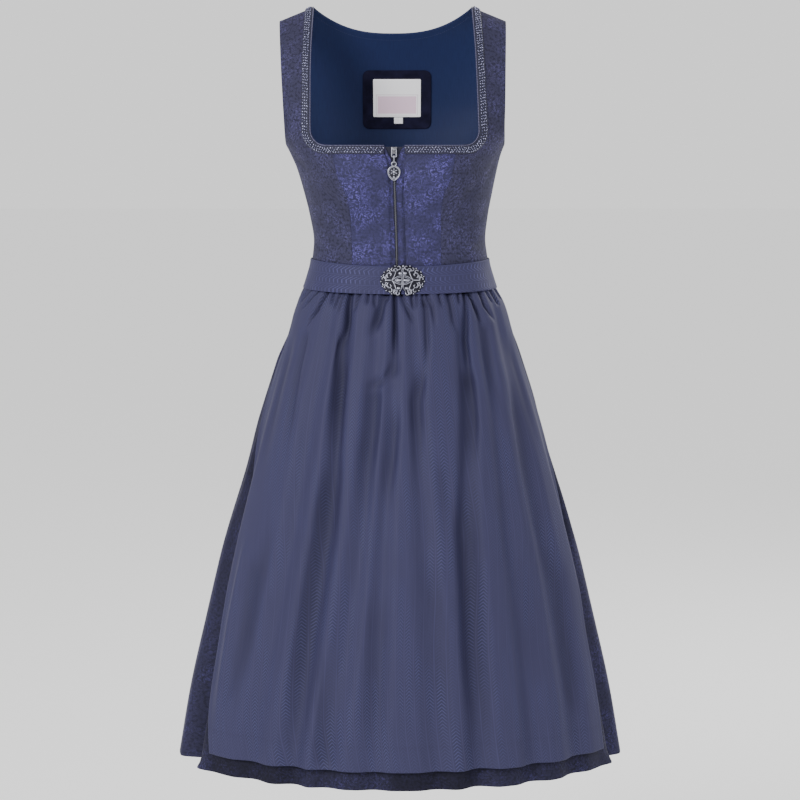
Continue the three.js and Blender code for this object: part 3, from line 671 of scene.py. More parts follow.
class Joined:
    """Many small meshes gathered into one piece."""

    def __init__(self) -> None:
        """Starts with nothing in it."""
        self.points: list[Array] = []
        self.faces: Faces = []
        self.recess: list[Array] = []
        self.count = 0

    def add(self, points: Array, faces: Faces, recess: float | Array = 0.0) -> None:
        """Adds a mesh.

        Args:
            points: Points in millimetres.
            faces: Corners of each face.
            recess: How far its points lie in a recess, from 0 to 1.
        """
        self.points.append(points)
        self.faces.extend(tuple(i + self.count for i in face) for face in faces)
        self.recess.append(np.broadcast_to(recess, len(points)))
        self.count += len(points)

    def make(self, name: str) -> Piece:
        """Makes the piece's object."""
        return new_object(
            name, np.concatenate(self.points), self.faces, worn=np.concatenate(self.recess)
        )


def unit(vectors: Array) -> Array:
    """The same directions at length 1."""
    return vectors / np.maximum(np.linalg.norm(vectors, axis=-1, keepdims=True), 1e-9)


def tube(
    path: Array, radius: float | Array, sides: int = 8, closed: bool = False
) -> tuple[Array, Faces]:
    """A round wire along a path.

    Args:
        path: Points of the middle line.
        radius: Radius, the same all along or one for each point.
        sides: Number of sides.
        closed: Whether the path's end joins its start.

    Returns:
        Points and faces.
    """
    count = len(path)
    if closed:
        tangent = unit(np.roll(path, -1, 0) - np.roll(path, 1, 0))
    else:
        tangent = unit(np.gradient(path, axis=0))
    first = np.cross(tangent[0], (0.0, 0.0, 1.0))
    if np.linalg.norm(first) < 0.1:
        first = np.cross(tangent[0], (0.0, 1.0, 0.0))
    frame_x = [unit(first)]
    for i in range(1, count):
        turned = frame_x[-1] - tangent[i] * np.dot(frame_x[-1], tangent[i])
        frame_x.append(unit(turned))
    x = np.array(frame_x)
    y = np.cross(tangent, x)
    turns = np.arange(sides) / sides * 2 * math.pi
    size = np.broadcast_to(radius, count)[:, None, None]
    cosine, sine = np.cos(turns)[None, :, None], np.sin(turns)[None, :, None]
    ring = cosine * x[:, None] + sine * y[:, None]
    points = (path[:, None] + size * ring).reshape(-1, 3)
    faces: Faces = []
    for i in range(count if closed else count - 1):
        low, high = i * sides, (i + 1) % count * sides
        for j in range(sides):
            k = (j + 1) % sides
            faces.append((low + j, low + k, high + k, high + j))
    if not closed:
        faces.append(tuple(range(sides))[::-1])
        faces.append(tuple((count - 1) * sides + j for j in range(sides)))
    return points, faces


def bead(centre: Array, axes: Array, rings: int = 5, sides: int = 8) -> tuple[Array, Faces]:
    """A rounded bead.

    Args:
        centre: Its middle.
        axes: Three half-axes, one a row.
        rings: Rings between its poles.
        sides: Sides around.

    Returns:
        Points and faces.
    """
    lift = np.linspace(-math.pi / 2, math.pi / 2, rings + 2)[1:-1]
    turns = np.arange(sides) / sides * 2 * math.pi
    ball = [(0.0, 0.0, -1.0)]
    for angle in lift:
        level = math.cos(angle)
        ball.extend((level * math.cos(t), level * math.sin(t), math.sin(angle)) for t in turns)
    ball.append((0.0, 0.0, 1.0))
    points = np.asarray(centre) + np.array(ball) @ np.asarray(axes)
    last = len(ball) - 1
    faces: Faces = []
    for j in range(sides):
        k = (j + 1) % sides
        faces.append((0, 1 + k, 1 + j))
        faces.append((last, last - sides + j, last - sides + k))
        for i in range(rings - 1):
            low, high = 1 + i * sides, 1 + (i + 1) * sides
            faces.append((low + j, low + k, high + k, high + j))
    if np.linalg.det(np.asarray(axes, float)) < 0:
        faces = [face[::-1] for face in faces]
    return points, faces


@dataclass
class Trace:
    """A line drawn on a form, with the outward direction along it."""

    points: Array
    normals: Array

    @classmethod
    def on(cls, surface: Surface, across: Array, up: Array, out: float) -> "Trace":
        """Draws a line on a form, a distance before it.

        Args:
            surface: The form.
            across: Places across.
            up: Places up.
            out: Distance before the form.

        Returns:
            The line.
        """
        across, up = np.broadcast_arrays(np.asarray(across, float), np.asarray(up, float))
        normals = outward(surface, across, up)
        return cls(surface(across, up) + out * normals, normals)

    def length(self) -> Array:
        """Length from the start to each point."""
        steps = np.linalg.norm(np.diff(self.points, axis=0), axis=1)
        return np.concatenate(([0.0], np.cumsum(steps)))

    def even(self, pitch: float, start: float = 0.5) -> "Trace":
        """The same line with a point every pitch, the first at a share of it.

        Args:
            pitch: Distance between two points.
            start: Share of it before the first point.

        Returns:
            The new line.
        """
        length = self.length()
        places = np.arange(start * pitch, length[-1], pitch)
        points = [np.interp(places, length, self.points[:, i]) for i in range(3)]
        normals = [np.interp(places, length, self.normals[:, i]) for i in range(3)]
        return Trace(np.stack(points, 1), unit(np.stack(normals, 1)))

    def tangents(self) -> Array:
        """The direction of the line at each point."""
        return unit(np.gradient(self.points, axis=0))


@dataclass(frozen=True)
class Sewing:
    """A row of stitches: small rounded lengths of thread that sink in at their ends."""

    pitch: float = 3.0
    length: float = 2.3
    thread: float = 0.26

    def sew(self, parts: Joined, trace: Trace) -> None:
        """Sews along a line.

        Args:
            parts: Where the stitches go.
            trace: The line on the cloth.
        """
        line = trace.even(self.pitch)
        along = line.tangents()
        across = np.cross(line.normals, along)
        for centre, way, side, out in zip(line.points, along, across, line.normals):
            axes = (way * self.length / 2, side * self.thread, out * self.thread)
            parts.add(*bead(centre, np.array(axes), rings=3, sides=6))


def edged(count: int, width: float, near: Sequence[float] = (0.45, 1.1)) -> Array:
    """Shares from 0 to 1, with extra lines near both ends for a rolled edge.

    Args:
        count: Number of even steps.
        width: The whole way, in millimetres.
        near: Distances of the extra lines from each end.

    Returns:
        Rising shares.
    """
    low = np.array(near) / width
    inner = np.linspace(0, 1, count + 1)
    inner = inner[(inner > low[-1] * 1.5) & (inner < 1 - low[-1] * 1.5)]
    return np.concatenate(([0.0], low, inner, 1 - low[::-1], [1.0]))


def double_wall(rows: int, columns: int) -> tuple[Array, Array, Array]:
    """Faces of a grid of points with a second one behind it.

    Args:
        rows: Rows of points.
        columns: Columns of points.

    Returns:
        Faces of the front, of the edge all round, and of the back.
    """
    index = np.arange(rows * columns).reshape(rows, columns)
    corners = (index[:-1, :-1], index[:-1, 1:], index[1:, 1:], index[1:, :-1])
    skin = np.stack(corners, axis=-1).reshape(-1, 4)
    rim = np.concatenate((index[0], index[1:, -1], index[-1, -2::-1], index[-2::-1, 0]))
    behind = rim + index.size
    edge = np.stack((rim[1:], rim[:-1], behind[:-1], behind[1:]), axis=1)
    return skin, edge, skin[:, ::-1] + index.size


# distance from an edge of cloth over which it rounds off
ROLLED = 1.3


@dataclass
class Shell:
    """A thin shell of cloth on a form, with softly rolled edges.

    Args:
        name: Name of the piece.
        surface: The form.
        across: Grid of places across, a row for each level.
        up: Grid of places up.
        front: How far the outer face lies before the form.
        thick: Thickness of the cloth.
        relief: Height of creases over the form, at each place.
        step: Step across over which the slope is read.
        roll: Share of the thickness that an edge rounds off.
        flat: Lower width, upper width and length of the cloth's cut in metres, where the
            grid is spread over it.
        fold: How much painted shade each place gets, for lying down in a fold, a seam or a shadow, from
            0 to 1.
        bolt: Where the piece is cut from the bolt of cloth, in metres.
    """

    name: str
    surface: Surface
    across: Array
    up: Array
    front: float
    thick: float
    relief: Array | float = 0.0
    step: float = 0.004
    roll: float = 0.42
    flat: tuple[float, float, float] | None = None
    fold: Array | float = 0.0
    bolt: Pair = (0.0, 0.0)
    area: float = field(default=0.0, init=False)
    cut: Pair = field(default=(0.0, 0.0), init=False)

    def edge_drop(self, base: Array) -> Array:
        """How far each face draws in near the cloth's edges.

        Args:
            base: Points of the form on the grid.

        Returns:
            Distances in millimetres.
        """
        rows = np.linalg.norm(np.diff(base, axis=1), axis=-1).cumsum(axis=1)
        rows = np.concatenate((np.zeros((len(base), 1)), rows), axis=1)
        columns = np.linalg.norm(np.diff(base, axis=0), axis=-1).cumsum(axis=0)
        columns = np.concatenate((np.zeros((1, base.shape[1])), columns), axis=0)
        near = np.minimum(
            np.minimum(rows, rows[:, -1:] - rows), np.minimum(columns, columns[-1:] - columns)
        )
        share = np.clip(1 - near / ROLLED, 0, 1)
        return self.roll * self.thick * (1 - np.sqrt(1 - share * share))

    def cloth_places(self, base: Array) -> Array:
        """Places on the flat cloth in metres, from the grid or from the cut.

        Args:
            base: Points of the form on the grid.

        Returns:
            Places across and up, in metres.
        """
        middle = base.shape[1] // 2
        if self.flat is not None:
            columns = np.linspace(0, 1, base.shape[1])
            if self.across.max() <= 1.0:
                columns = self.across[0]
            steps = np.abs(np.diff(self.up[:, middle]))
            rows = np.concatenate(([0.0], steps.cumsum())) / steps.sum()
            low, high, length = self.flat
            width = low + (high - low) * rows[:, None]
            u = (columns - 0.5) * width
            return np.stack((u, np.broadcast_to(rows[:, None] * length, u.shape)), axis=-1)
        steps = np.linalg.norm(np.diff(base, axis=1), axis=-1)
        u = np.concatenate((np.zeros((len(base), 1)), steps.cumsum(axis=1)), axis=1)
        climb = np.linalg.norm(np.diff(base[:, middle], axis=0), axis=-1)
        v = np.concatenate(([0.0], climb.cumsum()))
        self.cut = (float(np.ptp(u, axis=1).max()) * MM, float(v[-1]) * MM)
        u = u - u[:, middle : middle + 1]
        return np.stack((u, np.broadcast_to(v[:, None], u.shape)), axis=-1) * MM

    def make(self, outside: Material, inside: Material | None = None) -> Piece:
        """Makes the shell's object.

        Args:
            outside: Finish of the outer face and the edges.
            inside: Finish of the inner face, where it differs.

        Returns:
            The object.
        """
        base = self.surface(self.across, self.up)
        normal = outward(self.surface, self.across, self.up, self.step)
        drop = self.edge_drop(base)
        relief = np.broadcast_to(self.relief, base.shape[:2])
        outer = base + (self.front + relief - drop)[..., None] * normal
        inner = base + (self.front - self.thick + relief + drop)[..., None] * normal
        skin, edge, lining = double_wall(*base.shape[:2])
        faces = np.concatenate((skin, edge, lining))
        points = np.concatenate((outer.reshape(-1, 3), inner.reshape(-1, 3)))
        places = self.cloth_places(base).reshape(-1, 2) + self.bolt
        # the painted shade share, stored as the recess attribute
        fold = np.broadcast_to(self.fold, base.shape[:2]).ravel()
        made = new_object(
            f"{self.name}_cloth",
            points,
            faces.tolist(),
            np.concatenate((places, places)),
            np.concatenate((fold, fold)),
        )
        a, b = outer[:-1, 1:] - outer[:-1, :-1], outer[1:, :-1] - outer[:-1, :-1]
        self.area = float(np.linalg.norm(np.cross(a, b), axis=-1).sum()) * MM * MM
        made.data.materials.append(outside)
        if inside is not None:
            made.data.materials.append(inside)
            slots = np.zeros(len(faces), int)
            slots[len(skin) + len(edge) :] = 1
            made.data.polygons.foreach_set("material_index", slots)
        return made


def placed(
    made: Piece,
    slot: str,
    nodes: Sequence[str] = (),
    finish: Material | None = None,
    body: Body = Body.DRESS,
) -> Piece:
    """Puts a piece on its body of the frame and reports it.

    Args:
        made: The piece.
        slot: The record's material slot; not used.
        nodes: Nodes of the frame that it stands for.
        finish: Finish to give it, where it has none yet.
        body: The body it rides on.

    Returns:
        The piece.
    """
    if finish is not None:
        made.data.materials.append(finish)
    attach(made, body.value)
    if nodes:
        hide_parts(*nodes)
    LOG.info("%s: %d points, on %s", made.name, len(made.data.vertices), body.value)
    return made


SHORTEST_CUT = 0.010


def lay(shell: Shell, slot: str, held: Held, rests_on: Sequence[str], *finishes: Material) -> None:
    """Args:
        shell: The panel.
        slot: The record's material slot.
        held: How it is held; not used.
        rests_on: What it lies on or hangs from; not used.
        finishes: Finish of its outer face, and of its inner face where that differs.
    """
    made = placed(shell.make(*finishes), slot, [shell.name])
    if shell.flat is None:
        width, length = (max(side, SHORTEST_CUT) for side in shell.cut)
        area = min(shell.area, width * length)
    else:
        low, high, length = shell.flat
        width, area = max(low, high), (low + high) / 2 * length


# ---------------------------------------------------------------- finishes

WAVE_AT_1MM = 0.314
CLOTH_SHEEN = linear("#8080b0")


class Kind(Enum):
    """The kinds of shader node in the finishes: a type, its settings and the output used."""

    ADD_TO_1 = ("Math", {"operation": "ADD", "use_clamp": True})
    MINUS = ("Math", {"operation": "SUBTRACT"})
    TIMES = ("Math", {"operation": "MULTIPLY"})
    TIMES_TO_1 = ("Math", {"operation": "MULTIPLY", "use_clamp": True})
    TIMES_PLUS = ("Math", {"operation": "MULTIPLY_ADD"})
    TO_AND_FRO = ("Math", {"operation": "PINGPONG"})
    SIZE = ("Math", {"operation": "ABSOLUTE"})
    COSINE = ("Math", {"operation": "COSINE"})
    TURN = ("Math", {"operation": "ARCTAN2"})
    LARGER = ("Math", {"operation": "MAXIMUM"})
    NEAR = ("Math", {"operation": "COMPARE"})
    SCALE = ("VectorMath", {"operation": "SCALE"})
    APART = ("VectorMath", {"operation": "SUBTRACT"})
    SHIFT = ("VectorMath", {"operation": "MULTIPLY_ADD"})
    LENGTH = ("VectorMath", {"operation": "LENGTH"}, "Value")
    RANGE = ("MapRange", {})
    STEP = ("MapRange", {"interpolation_type": "SMOOTHSTEP"})
    MIX = ("Mix", {"data_type": "RGBA"})
    BLEND = ("Mix", {"data_type": "FLOAT"})
    AXES = ("SeparateXYZ", {})
    NOISE = ("TexNoise", {})
    DRIFT = ("TexNoise", {}, "Color")
    CELLS = ("TexVoronoi", {"voronoi_dimensions": "2D"}, "Position")
    WAVE = ("TexWave", {}, "Fac")
    RIBS = ("TexWave", {"bands_direction": "DIAGONAL"}, "Fac")
    STRETCH = ("Mapping", {})
    BUMP = ("Bump", {})
    CLOTH = ("UVMap", {"uv_map": "cloth"})
    RECESS = ("Attribute", {"attribute_name": "recess"}, "Fac")
    PLACE = ("TexCoord", {}, "Object")
    SHADER = ("BsdfPrincipled", {})
    OUTPUT = ("OutputMaterial", {})


def add_node(
    tree: bpy.types.NodeTree, kind: Kind, *values: object, **named: object
) -> Socket | None:
    """Adds a node and sets or links its inputs.

    Args:
        tree: The tree it goes into.
        kind: Its kind.
        values: For each input in turn, a value or another node's output.
        named: The same for inputs by name.

    Returns:
        Its output, where it has one.
    """
    family, settings, *shown = kind.value
    node = tree.nodes.new(f"ShaderNode{family}")
    for key, value in settings.items():
        setattr(node, key, value)
    inputs = [port for port in node.inputs if port.enabled]
    for port, source in (*zip(inputs, values), *((node.inputs[key], named[key]) for key in named)):
        if isinstance(source, Socket):
            tree.links.new(source, port)
        else:
            port.default_value = source
    outputs = [port for port in node.outputs if port.enabled and (not shown or port.name in shown)]
    return outputs[0] if outputs else None


@dataclass(frozen=True)
class Finish:
    """A named finish that builds its own material."""

    name: str

    def surface(self, add: Adder) -> dict[str, object]:
        """What goes into the shader's inputs."""
        raise NotImplementedError

    def material(self) -> Material:
        """Builds the material.

        Returns:
            The material.
        """
        material = bpy.data.materials.new(self.name)
        material.use_nodes = True
        material.node_tree.nodes.clear()
        add = partial(add_node, material.node_tree)
        add(Kind.OUTPUT, add(Kind.SHADER, **self.surface(add)))
        return material

    def cloth(self, add: Adder) -> Socket:
        """The place on the flat cloth in millimetres."""
        return add(Kind.SCALE, add(Kind.CLOTH), 1000.0)

    def in_folds(self, add: Adder, shade: Socket, depth: float) -> Socket:
        """Darkens a shade down in folds and seams, and under the apron, with painted shade."""
        return add(Kind.TIMES, shade, add(Kind.TIMES_PLUS, add(Kind.RECESS), -depth, 1.0))

    def bump(self, add: Adder, height: Socket, depth: float) -> Socket:
        """A relief of a depth in millimetres."""
        return add(Kind.BUMP, Strength=0.6, Distance=depth * MM, Height=height)


@dataclass(frozen=True)
class Brocade(Finish):
    """Jacquard-woven brocade: a matt ribbed ground with a satin figure of flowers and scrolls.

    The figure's long floats catch the light here and there, so it reads as violet glints
    and curls rather than as drawn lines.
    """

    ground: str
    figure: str
    share: float = 0.85
    speck: float = 0.2
    clouds: float = 0.2
    repeat: float = 16.0
    petals: float = 6.0
    leaf: float = 0.07

    def surface(self, add: Adder) -> dict[str, object]:
        """What goes into the shader's inputs.

        Args:
            add: Adds a node to the material.

        Returns:
            A value or a node's output for each input.
        """
        place = self.cloth(add)
        bent = add(Kind.SHIFT, add(Kind.DRIFT, place, 0.14, 1.0), (4.0, 4.0, 0.0), place)
        local = add(Kind.APART, bent, add(Kind.CELLS, bent, 1 / self.repeat, Randomness=0.7))
        x, y, _ = add(Kind.AXES, local).node.outputs
        # a star flower: its edge is waved into petals round a small ring
        lobe = add(Kind.COSINE, add(Kind.TIMES, add(Kind.TURN, y, x), self.petals))
        petal = add(Kind.TIMES_PLUS, lobe, -0.085 * self.repeat, add(Kind.LENGTH, local))
        rings = add(Kind.TO_AND_FRO, petal, 0.1 * self.repeat)
        flower = add(Kind.STEP, rings, 0.2, 0.95, 1.0, 0.0)
        # leaves and scrolls between the flowers follow the level lines of a soft noise
        levels = add(Kind.TO_AND_FRO, add(Kind.NOISE, place, 0.11, 1.0), self.leaf)
        scroll = add(Kind.STEP, levels, 0.18 * self.leaf, 0.6 * self.leaf, 1.0, 0.0)
        beyond = add(Kind.STEP, petal, 0.24 * self.repeat, 0.3 * self.repeat)
        figure = add(Kind.BLEND, beyond, flower, scroll)
        # floats glint in grains of about 4 mm, within clouds of about 30 mm
        grain = add(Kind.NOISE, place, 0.28, 2.0)
        glint = add(Kind.RANGE, grain, 0.36, 0.62, 0.25, 1.2)
        patch = add(Kind.RANGE, add(Kind.NOISE, place, 0.03, 2.0), 0.4, 0.62, self.clouds, 1.15)
        strength = add(Kind.TIMES, figure, add(Kind.TIMES, glint, patch))
        woven = add(Kind.TIMES_TO_1, strength, self.share)
        colour = add(Kind.MIX, woven, linear(self.ground), linear(self.figure))
        # the ground's rib is about 0.4 mm, drawn at 1.5 mm so that it shows
        rib = add(Kind.RIBS, place, WAVE_AT_1MM / 1.5, 1.5, 1.0)
        # the ground shows darker in small flecks between the floats
        fleck = add(Kind.RANGE, grain, 0.38, 0.5, 1 - self.speck, 1.0)
        shade = add(Kind.TIMES, fleck, add(Kind.RANGE, rib, 0.0, 1.0, 0.9, 1.06))
        return {
            # the colour is darkened by painted shade in folds and seams
            "Base Color": add(Kind.SCALE, colour, self.in_folds(add, shade, 0.62)),
            "Roughness": add(Kind.RANGE, woven, 0.0, 1.0, 0.7, 0.48),
            "Specular IOR Level": 0.12,
            "Normal": self.bump(add, add(Kind.TIMES_PLUS, rib, 0.35, woven), 0.22),
            "Sheen Weight": 0.03,
            "Sheen Roughness": 0.45,
            "Sheen Tint": CLOTH_SHEEN,
        }


@dataclass(frozen=True)
class ChevronWeave(Finish):
    """Dobby-woven cotton and silk: rows of small chevrons between smooth stripes.

    The chevrons are short floats that catch the light in some folds and not in others,
    so the rows show and fade along the cloth, and the stripes between them stay even.
    """

    ground: str
    light: str
    stripe: str
    pitch: float
    row_half: float
    period: float
    slope: float
    start: float = 0.0
    sideways: bool = False
    faintest: float = 0.3

    def surface(self, add: Adder) -> dict[str, object]:
        """What goes into the shader's inputs.

        Args:
            add: Adds a node to the material.

        Returns:
            A value or a node's output for each input.
        """
        place = self.cloth(add)
        across, along, _ = add(Kind.AXES, place).node.outputs
        if self.sideways:
            across, along = along, across
        half = self.pitch / 2
        away = add(Kind.TO_AND_FRO, add(Kind.MINUS, across, self.start), half)
        slant = add(Kind.TIMES_PLUS, away, -self.slope, along)
        teeth = add(Kind.TO_AND_FRO, slant, self.period / 2)
        lines = add(Kind.STEP, teeth, 0.03 * self.period, 0.22 * self.period, 1.0, 0.0)
        row = add(Kind.STEP, away, self.row_half - 0.6, self.row_half + 0.9, 1.0, 0.0)
        # rows catch the light over lengths of about 120 mm
        drawn = add(Kind.STRETCH, place, Scale=(0.02, 0.008, 1.0))
        caught = add(Kind.STEP, add(Kind.NOISE, drawn, 1.0, 2.0), 0.4, 0.62, self.faintest, 1.0)
        shown = add(Kind.TIMES, row, caught)
        # a warp end of bright silk runs down the middle of each stripe
        end = add(Kind.STEP, away, half - 0.9, half - 0.2, 0.0, 0.3)
        chevrons = add(Kind.MIX, lines, linear(self.ground), linear(self.light))
        plain = add(Kind.MIX, end, linear(self.stripe), linear(self.light))
        woven = add(Kind.MIX, shown, plain, chevrons)
        # threads of the ground are 0.3 mm apart, drawn at 1.5 mm so that they show
        thread = add(Kind.RIBS, place, WAVE_AT_1MM / 1.5, 0.8, 1.0)
        drawn = add(Kind.STRETCH, place, Scale=(0.5, 0.02, 1.0))
        uneven = add(Kind.RANGE, add(Kind.NOISE, drawn, 1.0, 3.0), 0.3, 0.7, 0.93, 1.05)
        shade = add(Kind.TIMES, uneven, add(Kind.RANGE, thread, 0.0, 1.0, 0.95, 1.04))
        high = add(Kind.TIMES, lines, shown)
        return {
            # the colour is darkened by painted shade in folds and seams
            "Base Color": add(Kind.SCALE, woven, self.in_folds(add, shade, 0.4)),
            "Roughness": add(Kind.RANGE, high, 0.0, 1.0, 0.62, 0.5),
            "Specular IOR Level": 0.13,
            "Normal": self.bump(add, add(Kind.TIMES_PLUS, thread, 0.3, high), 0.12),
            "Sheen Weight": 0.03,
            "Sheen Roughness": 0.4,
            "Sheen Tint": CLOTH_SHEEN,
        }


@dataclass(frozen=True)
class Satin(Finish):
    """Woven polyester satin: warp floats side by side, with a smooth shine along them."""

    colour: str
    roughness: float = 0.5

    def surface(self, add: Adder) -> dict[str, object]:
        """What goes into the shader's inputs.

        Args:
            add: Adds a node to the material.

        Returns:
            A value or a node's output for each input.
        """
        # floats are 0.2 mm wide, drawn at about 1 mm so that they show
        drawn = add(Kind.STRETCH, self.cloth(add), Scale=(1.1, 0.06, 1.0))
        floats = add(Kind.NOISE, drawn, 1.0, 4.0)
        shade = add(Kind.RANGE, floats, 0.3, 0.7, 0.88, 1.1)
        return {
            "Base Color": add(Kind.SCALE, linear(self.colour)[:3], shade),
            "Roughness": self.roughness,
            "Anisotropic": 0.3,
            "Specular IOR Level": 0.15,
            "Normal": self.bump(add, floats, 0.06),
            "Sheen Weight": 0.04,
        }


@dataclass(frozen=True)
class Velvet(Finish):
    """Cut-pile velvet: almost black face on, with a faint light along its crushed pile."""

    colour: str
    light: str

    def surface(self, add: Adder) -> dict[str, object]:
        """What goes into the shader's inputs.

        Args:
            add: Adds a node to the material.

        Returns:
            A value or a node's output for each input.
        """
        place = self.cloth(add)
        # tufts are 0.4 mm apart, drawn at about 2 mm so that they show
        pile = add(Kind.NOISE, place, 0.5, 5.0)
        shade = add(Kind.RANGE, add(Kind.NOISE, place, 0.06, 2.0), 0.3, 0.7, 0.7, 1.5)
        return {
            "Base Color": add(Kind.SCALE, linear(self.colour)[:3], shade),
            "Roughness": 0.95,
            "Normal": self.bump(add, pile, 0.35),
            "Sheen Weight": 0.15,
            "Sheen Roughness": 0.35,
            "Specular IOR Level": 0.1,
            "Sheen Tint": linear(self.light),
        }


@dataclass(frozen=True)
class WovenLabel(Finish):
    """Damask-woven polyester satin: a pale face with one tinted field, bare of any words."""

    face: str
    tint: str
    rule: str
    centre: Pair = (0.0, 17.5)
    half: Pair = (27.4, 12.6)

    def surface(self, add: Adder) -> dict[str, object]:
        """What goes into the shader's inputs.

        Args:
            add: Adds a node to the material.

        Returns:
            A value or a node's output for each input.
        """
        place = self.cloth(add)
        axes = add(Kind.AXES, place).node.outputs
        edge = add(Kind.LARGER, *(
            add(Kind.MINUS, add(Kind.SIZE, add(Kind.MINUS, axis, centre)), half)
            for axis, centre, half in zip(axes, self.centre, self.half)
        ))
        within = add(Kind.RANGE, edge, -0.3, 0.3, 1.0, 0.0)
        border = add(Kind.TIMES, add(Kind.NEAR, edge, 2.0, 0.5), 0.5)
        tinted = add(Kind.MIX, within, linear(self.face), linear(self.tint))
        floats = add(Kind.WAVE, place, WAVE_AT_1MM / 0.9)
        return {
            "Base Color": add(Kind.MIX, border, tinted, linear(self.rule)),
            "Roughness": 0.45,
            "Normal": self.bump(add, floats, 0.05),
            "Sheen Weight": 0.2,
        }


@dataclass(frozen=True)
class Thread(Finish):
    """Twisted polyester thread or cord: a soft shine broken by its fine spiral."""

    colour: str
    shine: str
    twist: float = 0.9

    def surface(self, add: Adder) -> dict[str, object]:
        """What goes into the shader's inputs.

        Args:
            add: Adds a node to the material.

        Returns:
            A value or a node's output for each input.
        """
        spiral = add(Kind.RIBS, add(Kind.PLACE), WAVE_AT_1MM / (self.twist * MM), 2.0)
        return {
            "Base Color": add(Kind.MIX, spiral, linear(self.colour), linear(self.shine)),
            "Roughness": 0.55,
            "Normal": self.bump(add, spiral, 0.1),
            "Specular IOR Level": 0.2,
            "Sheen Weight": 0.05,
        }


@dataclass(frozen=True)
class AntiqueSilver(Finish):
    """Cast white metal, silver-plated and blackened: bright where it is rubbed, and dark in
    its recesses, so that the relief reads at a glance."""

    bright: str
    dark: str
    roughness: float = 0.3

    def surface(self, add: Adder) -> dict[str, object]:
        """What goes into the shader's inputs.

        Args:
            add: Adds a node to the material.

        Returns:
            A value or a node's output for each input.
        """
        # the casting's skin is uneven over 1 to 2 mm
        cast = add(Kind.NOISE, add(Kind.PLACE), 1 / (1.6 * MM), 4.0)
        share = add(Kind.ADD_TO_1, add(Kind.RECESS), add(Kind.TIMES_PLUS, cast, 0.5, -0.22))
        return {
            "Base Color": add(Kind.MIX, share, linear(self.bright), linear(self.dark)),
            "Metallic": 1.0,
            "Roughness": add(Kind.RANGE, share, 0.0, 1.0, self.roughness, 0.6),
            "Normal": self.bump(add, cast, 0.08),
        }


@dataclass(frozen=True)
class GlassBead(Finish):
    """Pressed glass bead with a metallic lustre: a small hard glint on a grey body."""

    colour: str
    dark: str

    def surface(self, add: Adder) -> dict[str, object]:
        """What goes into the shader's inputs.

        Args:
            add: Adds a node to the material.

        Returns:
            A value or a node's output for each input.
        """
        # the lustre differs from bead to bead, over about 3 mm
        lustre = add(Kind.NOISE, add(Kind.PLACE), 1 / (3 * MM), 2.0)
        spread = add(Kind.RANGE, lustre, 0.35, 0.65)
        return {
            "Base Color": add(Kind.MIX, spread, linear(self.dark), linear(self.colour)),
            "Metallic": 0.6,
            "Roughness": 0.22,
            "Coat Weight": 0.4,
            "Coat Roughness": 0.1,
        }


@dataclass(frozen=True)
class StudioPaper(Finish):
    """Uncoated background paper: matt, even and pale, with a fine tooth."""

    colour: str

    def surface(self, add: Adder) -> dict[str, object]:
        """What goes into the shader's inputs.

        Args:
            add: Adds a node to the material.

        Returns:
            A value or a node's output for each input.
        """
        tooth = add(Kind.NOISE, add(Kind.PLACE), 1 / (2 * MM))
        return {
            "Base Color": linear(self.colour),
            "Roughness": 0.9,
            "Normal": self.bump(add, tooth, 0.1),
        }


class Finishes:
    """Every finish of the garment, made once."""

    def __init__(self) -> None:
        """Builds the materials."""
        self.brocade = Brocade("centre_brocade", "#2e2d48", "#524b8c", share=0.8, clouds=0.12).material()
        # the side fronts and the back take the centre's brocade in a greyer, darker copy: the greyer
        # tone is painted shade for cloth turning from the light, the dark flecks are the cloth's own
        self.side_brocade = Brocade(
            "side_brocade", "#2e2d42", "#444069", share=0.7, speck=0.4, clouds=0.05
        ).material()
        self.skirt_brocade = Brocade(
            "skirt_brocade", "#28273c", "#3a3664", share=0.6, speck=0.3
        ).material()
        self.apron = ChevronWeave(
            "apron_weave", ground="#2b2b43", light="#404064", stripe="#302f48",
            pitch=14.6, row_half=5.0, period=4.5, slope=-1.0,
        ).material()
        self.band = ChevronWeave(
            "band_weave", ground="#2e2d48", light="#414069", stripe="#2f2e49",
            pitch=14.4, row_half=5.2, period=6.6, slope=1.0, start=5.6, sideways=True,
        ).material()
        self.lining = Satin("lining_satin", "#192347", roughness=0.6).material()
        self.velvet = Velvet("patch_velvet", "#151427", "#2b2c5c").material()
        self.label = WovenLabel("label_satin", "#f7f6fa", "#e3c6da", "#bfa3b8").material()
        self.tag = Satin("tag_satin", "#f0eff4").material()
        self.thread = Thread("sewing_thread", "#282a45", "#3e4066").material()
        self.cord = Thread("braid_cord", "#181826", "#2b2b40", twist=1.6).material()
        self.piping = Thread("neck_piping", "#3c3b52", "#55536c", twist=2.2).material()
        self.bead = GlassBead("braid_beads", "#9697b6", "#424362").material()
        self.silver = AntiqueSilver("old_silver", "#a9aab8", "#2a2a31").material()
        self.zip_metal = AntiqueSilver("zip_metal", "#8e8e94", "#36363c").material()
        self.tape = Thread("zip_tape", "#12131f", "#222338", twist=1.2).material()
        self.paper = StudioPaper("studio_paper", "#fafafa").material()


# ---------------------------------------------------------------- bodice


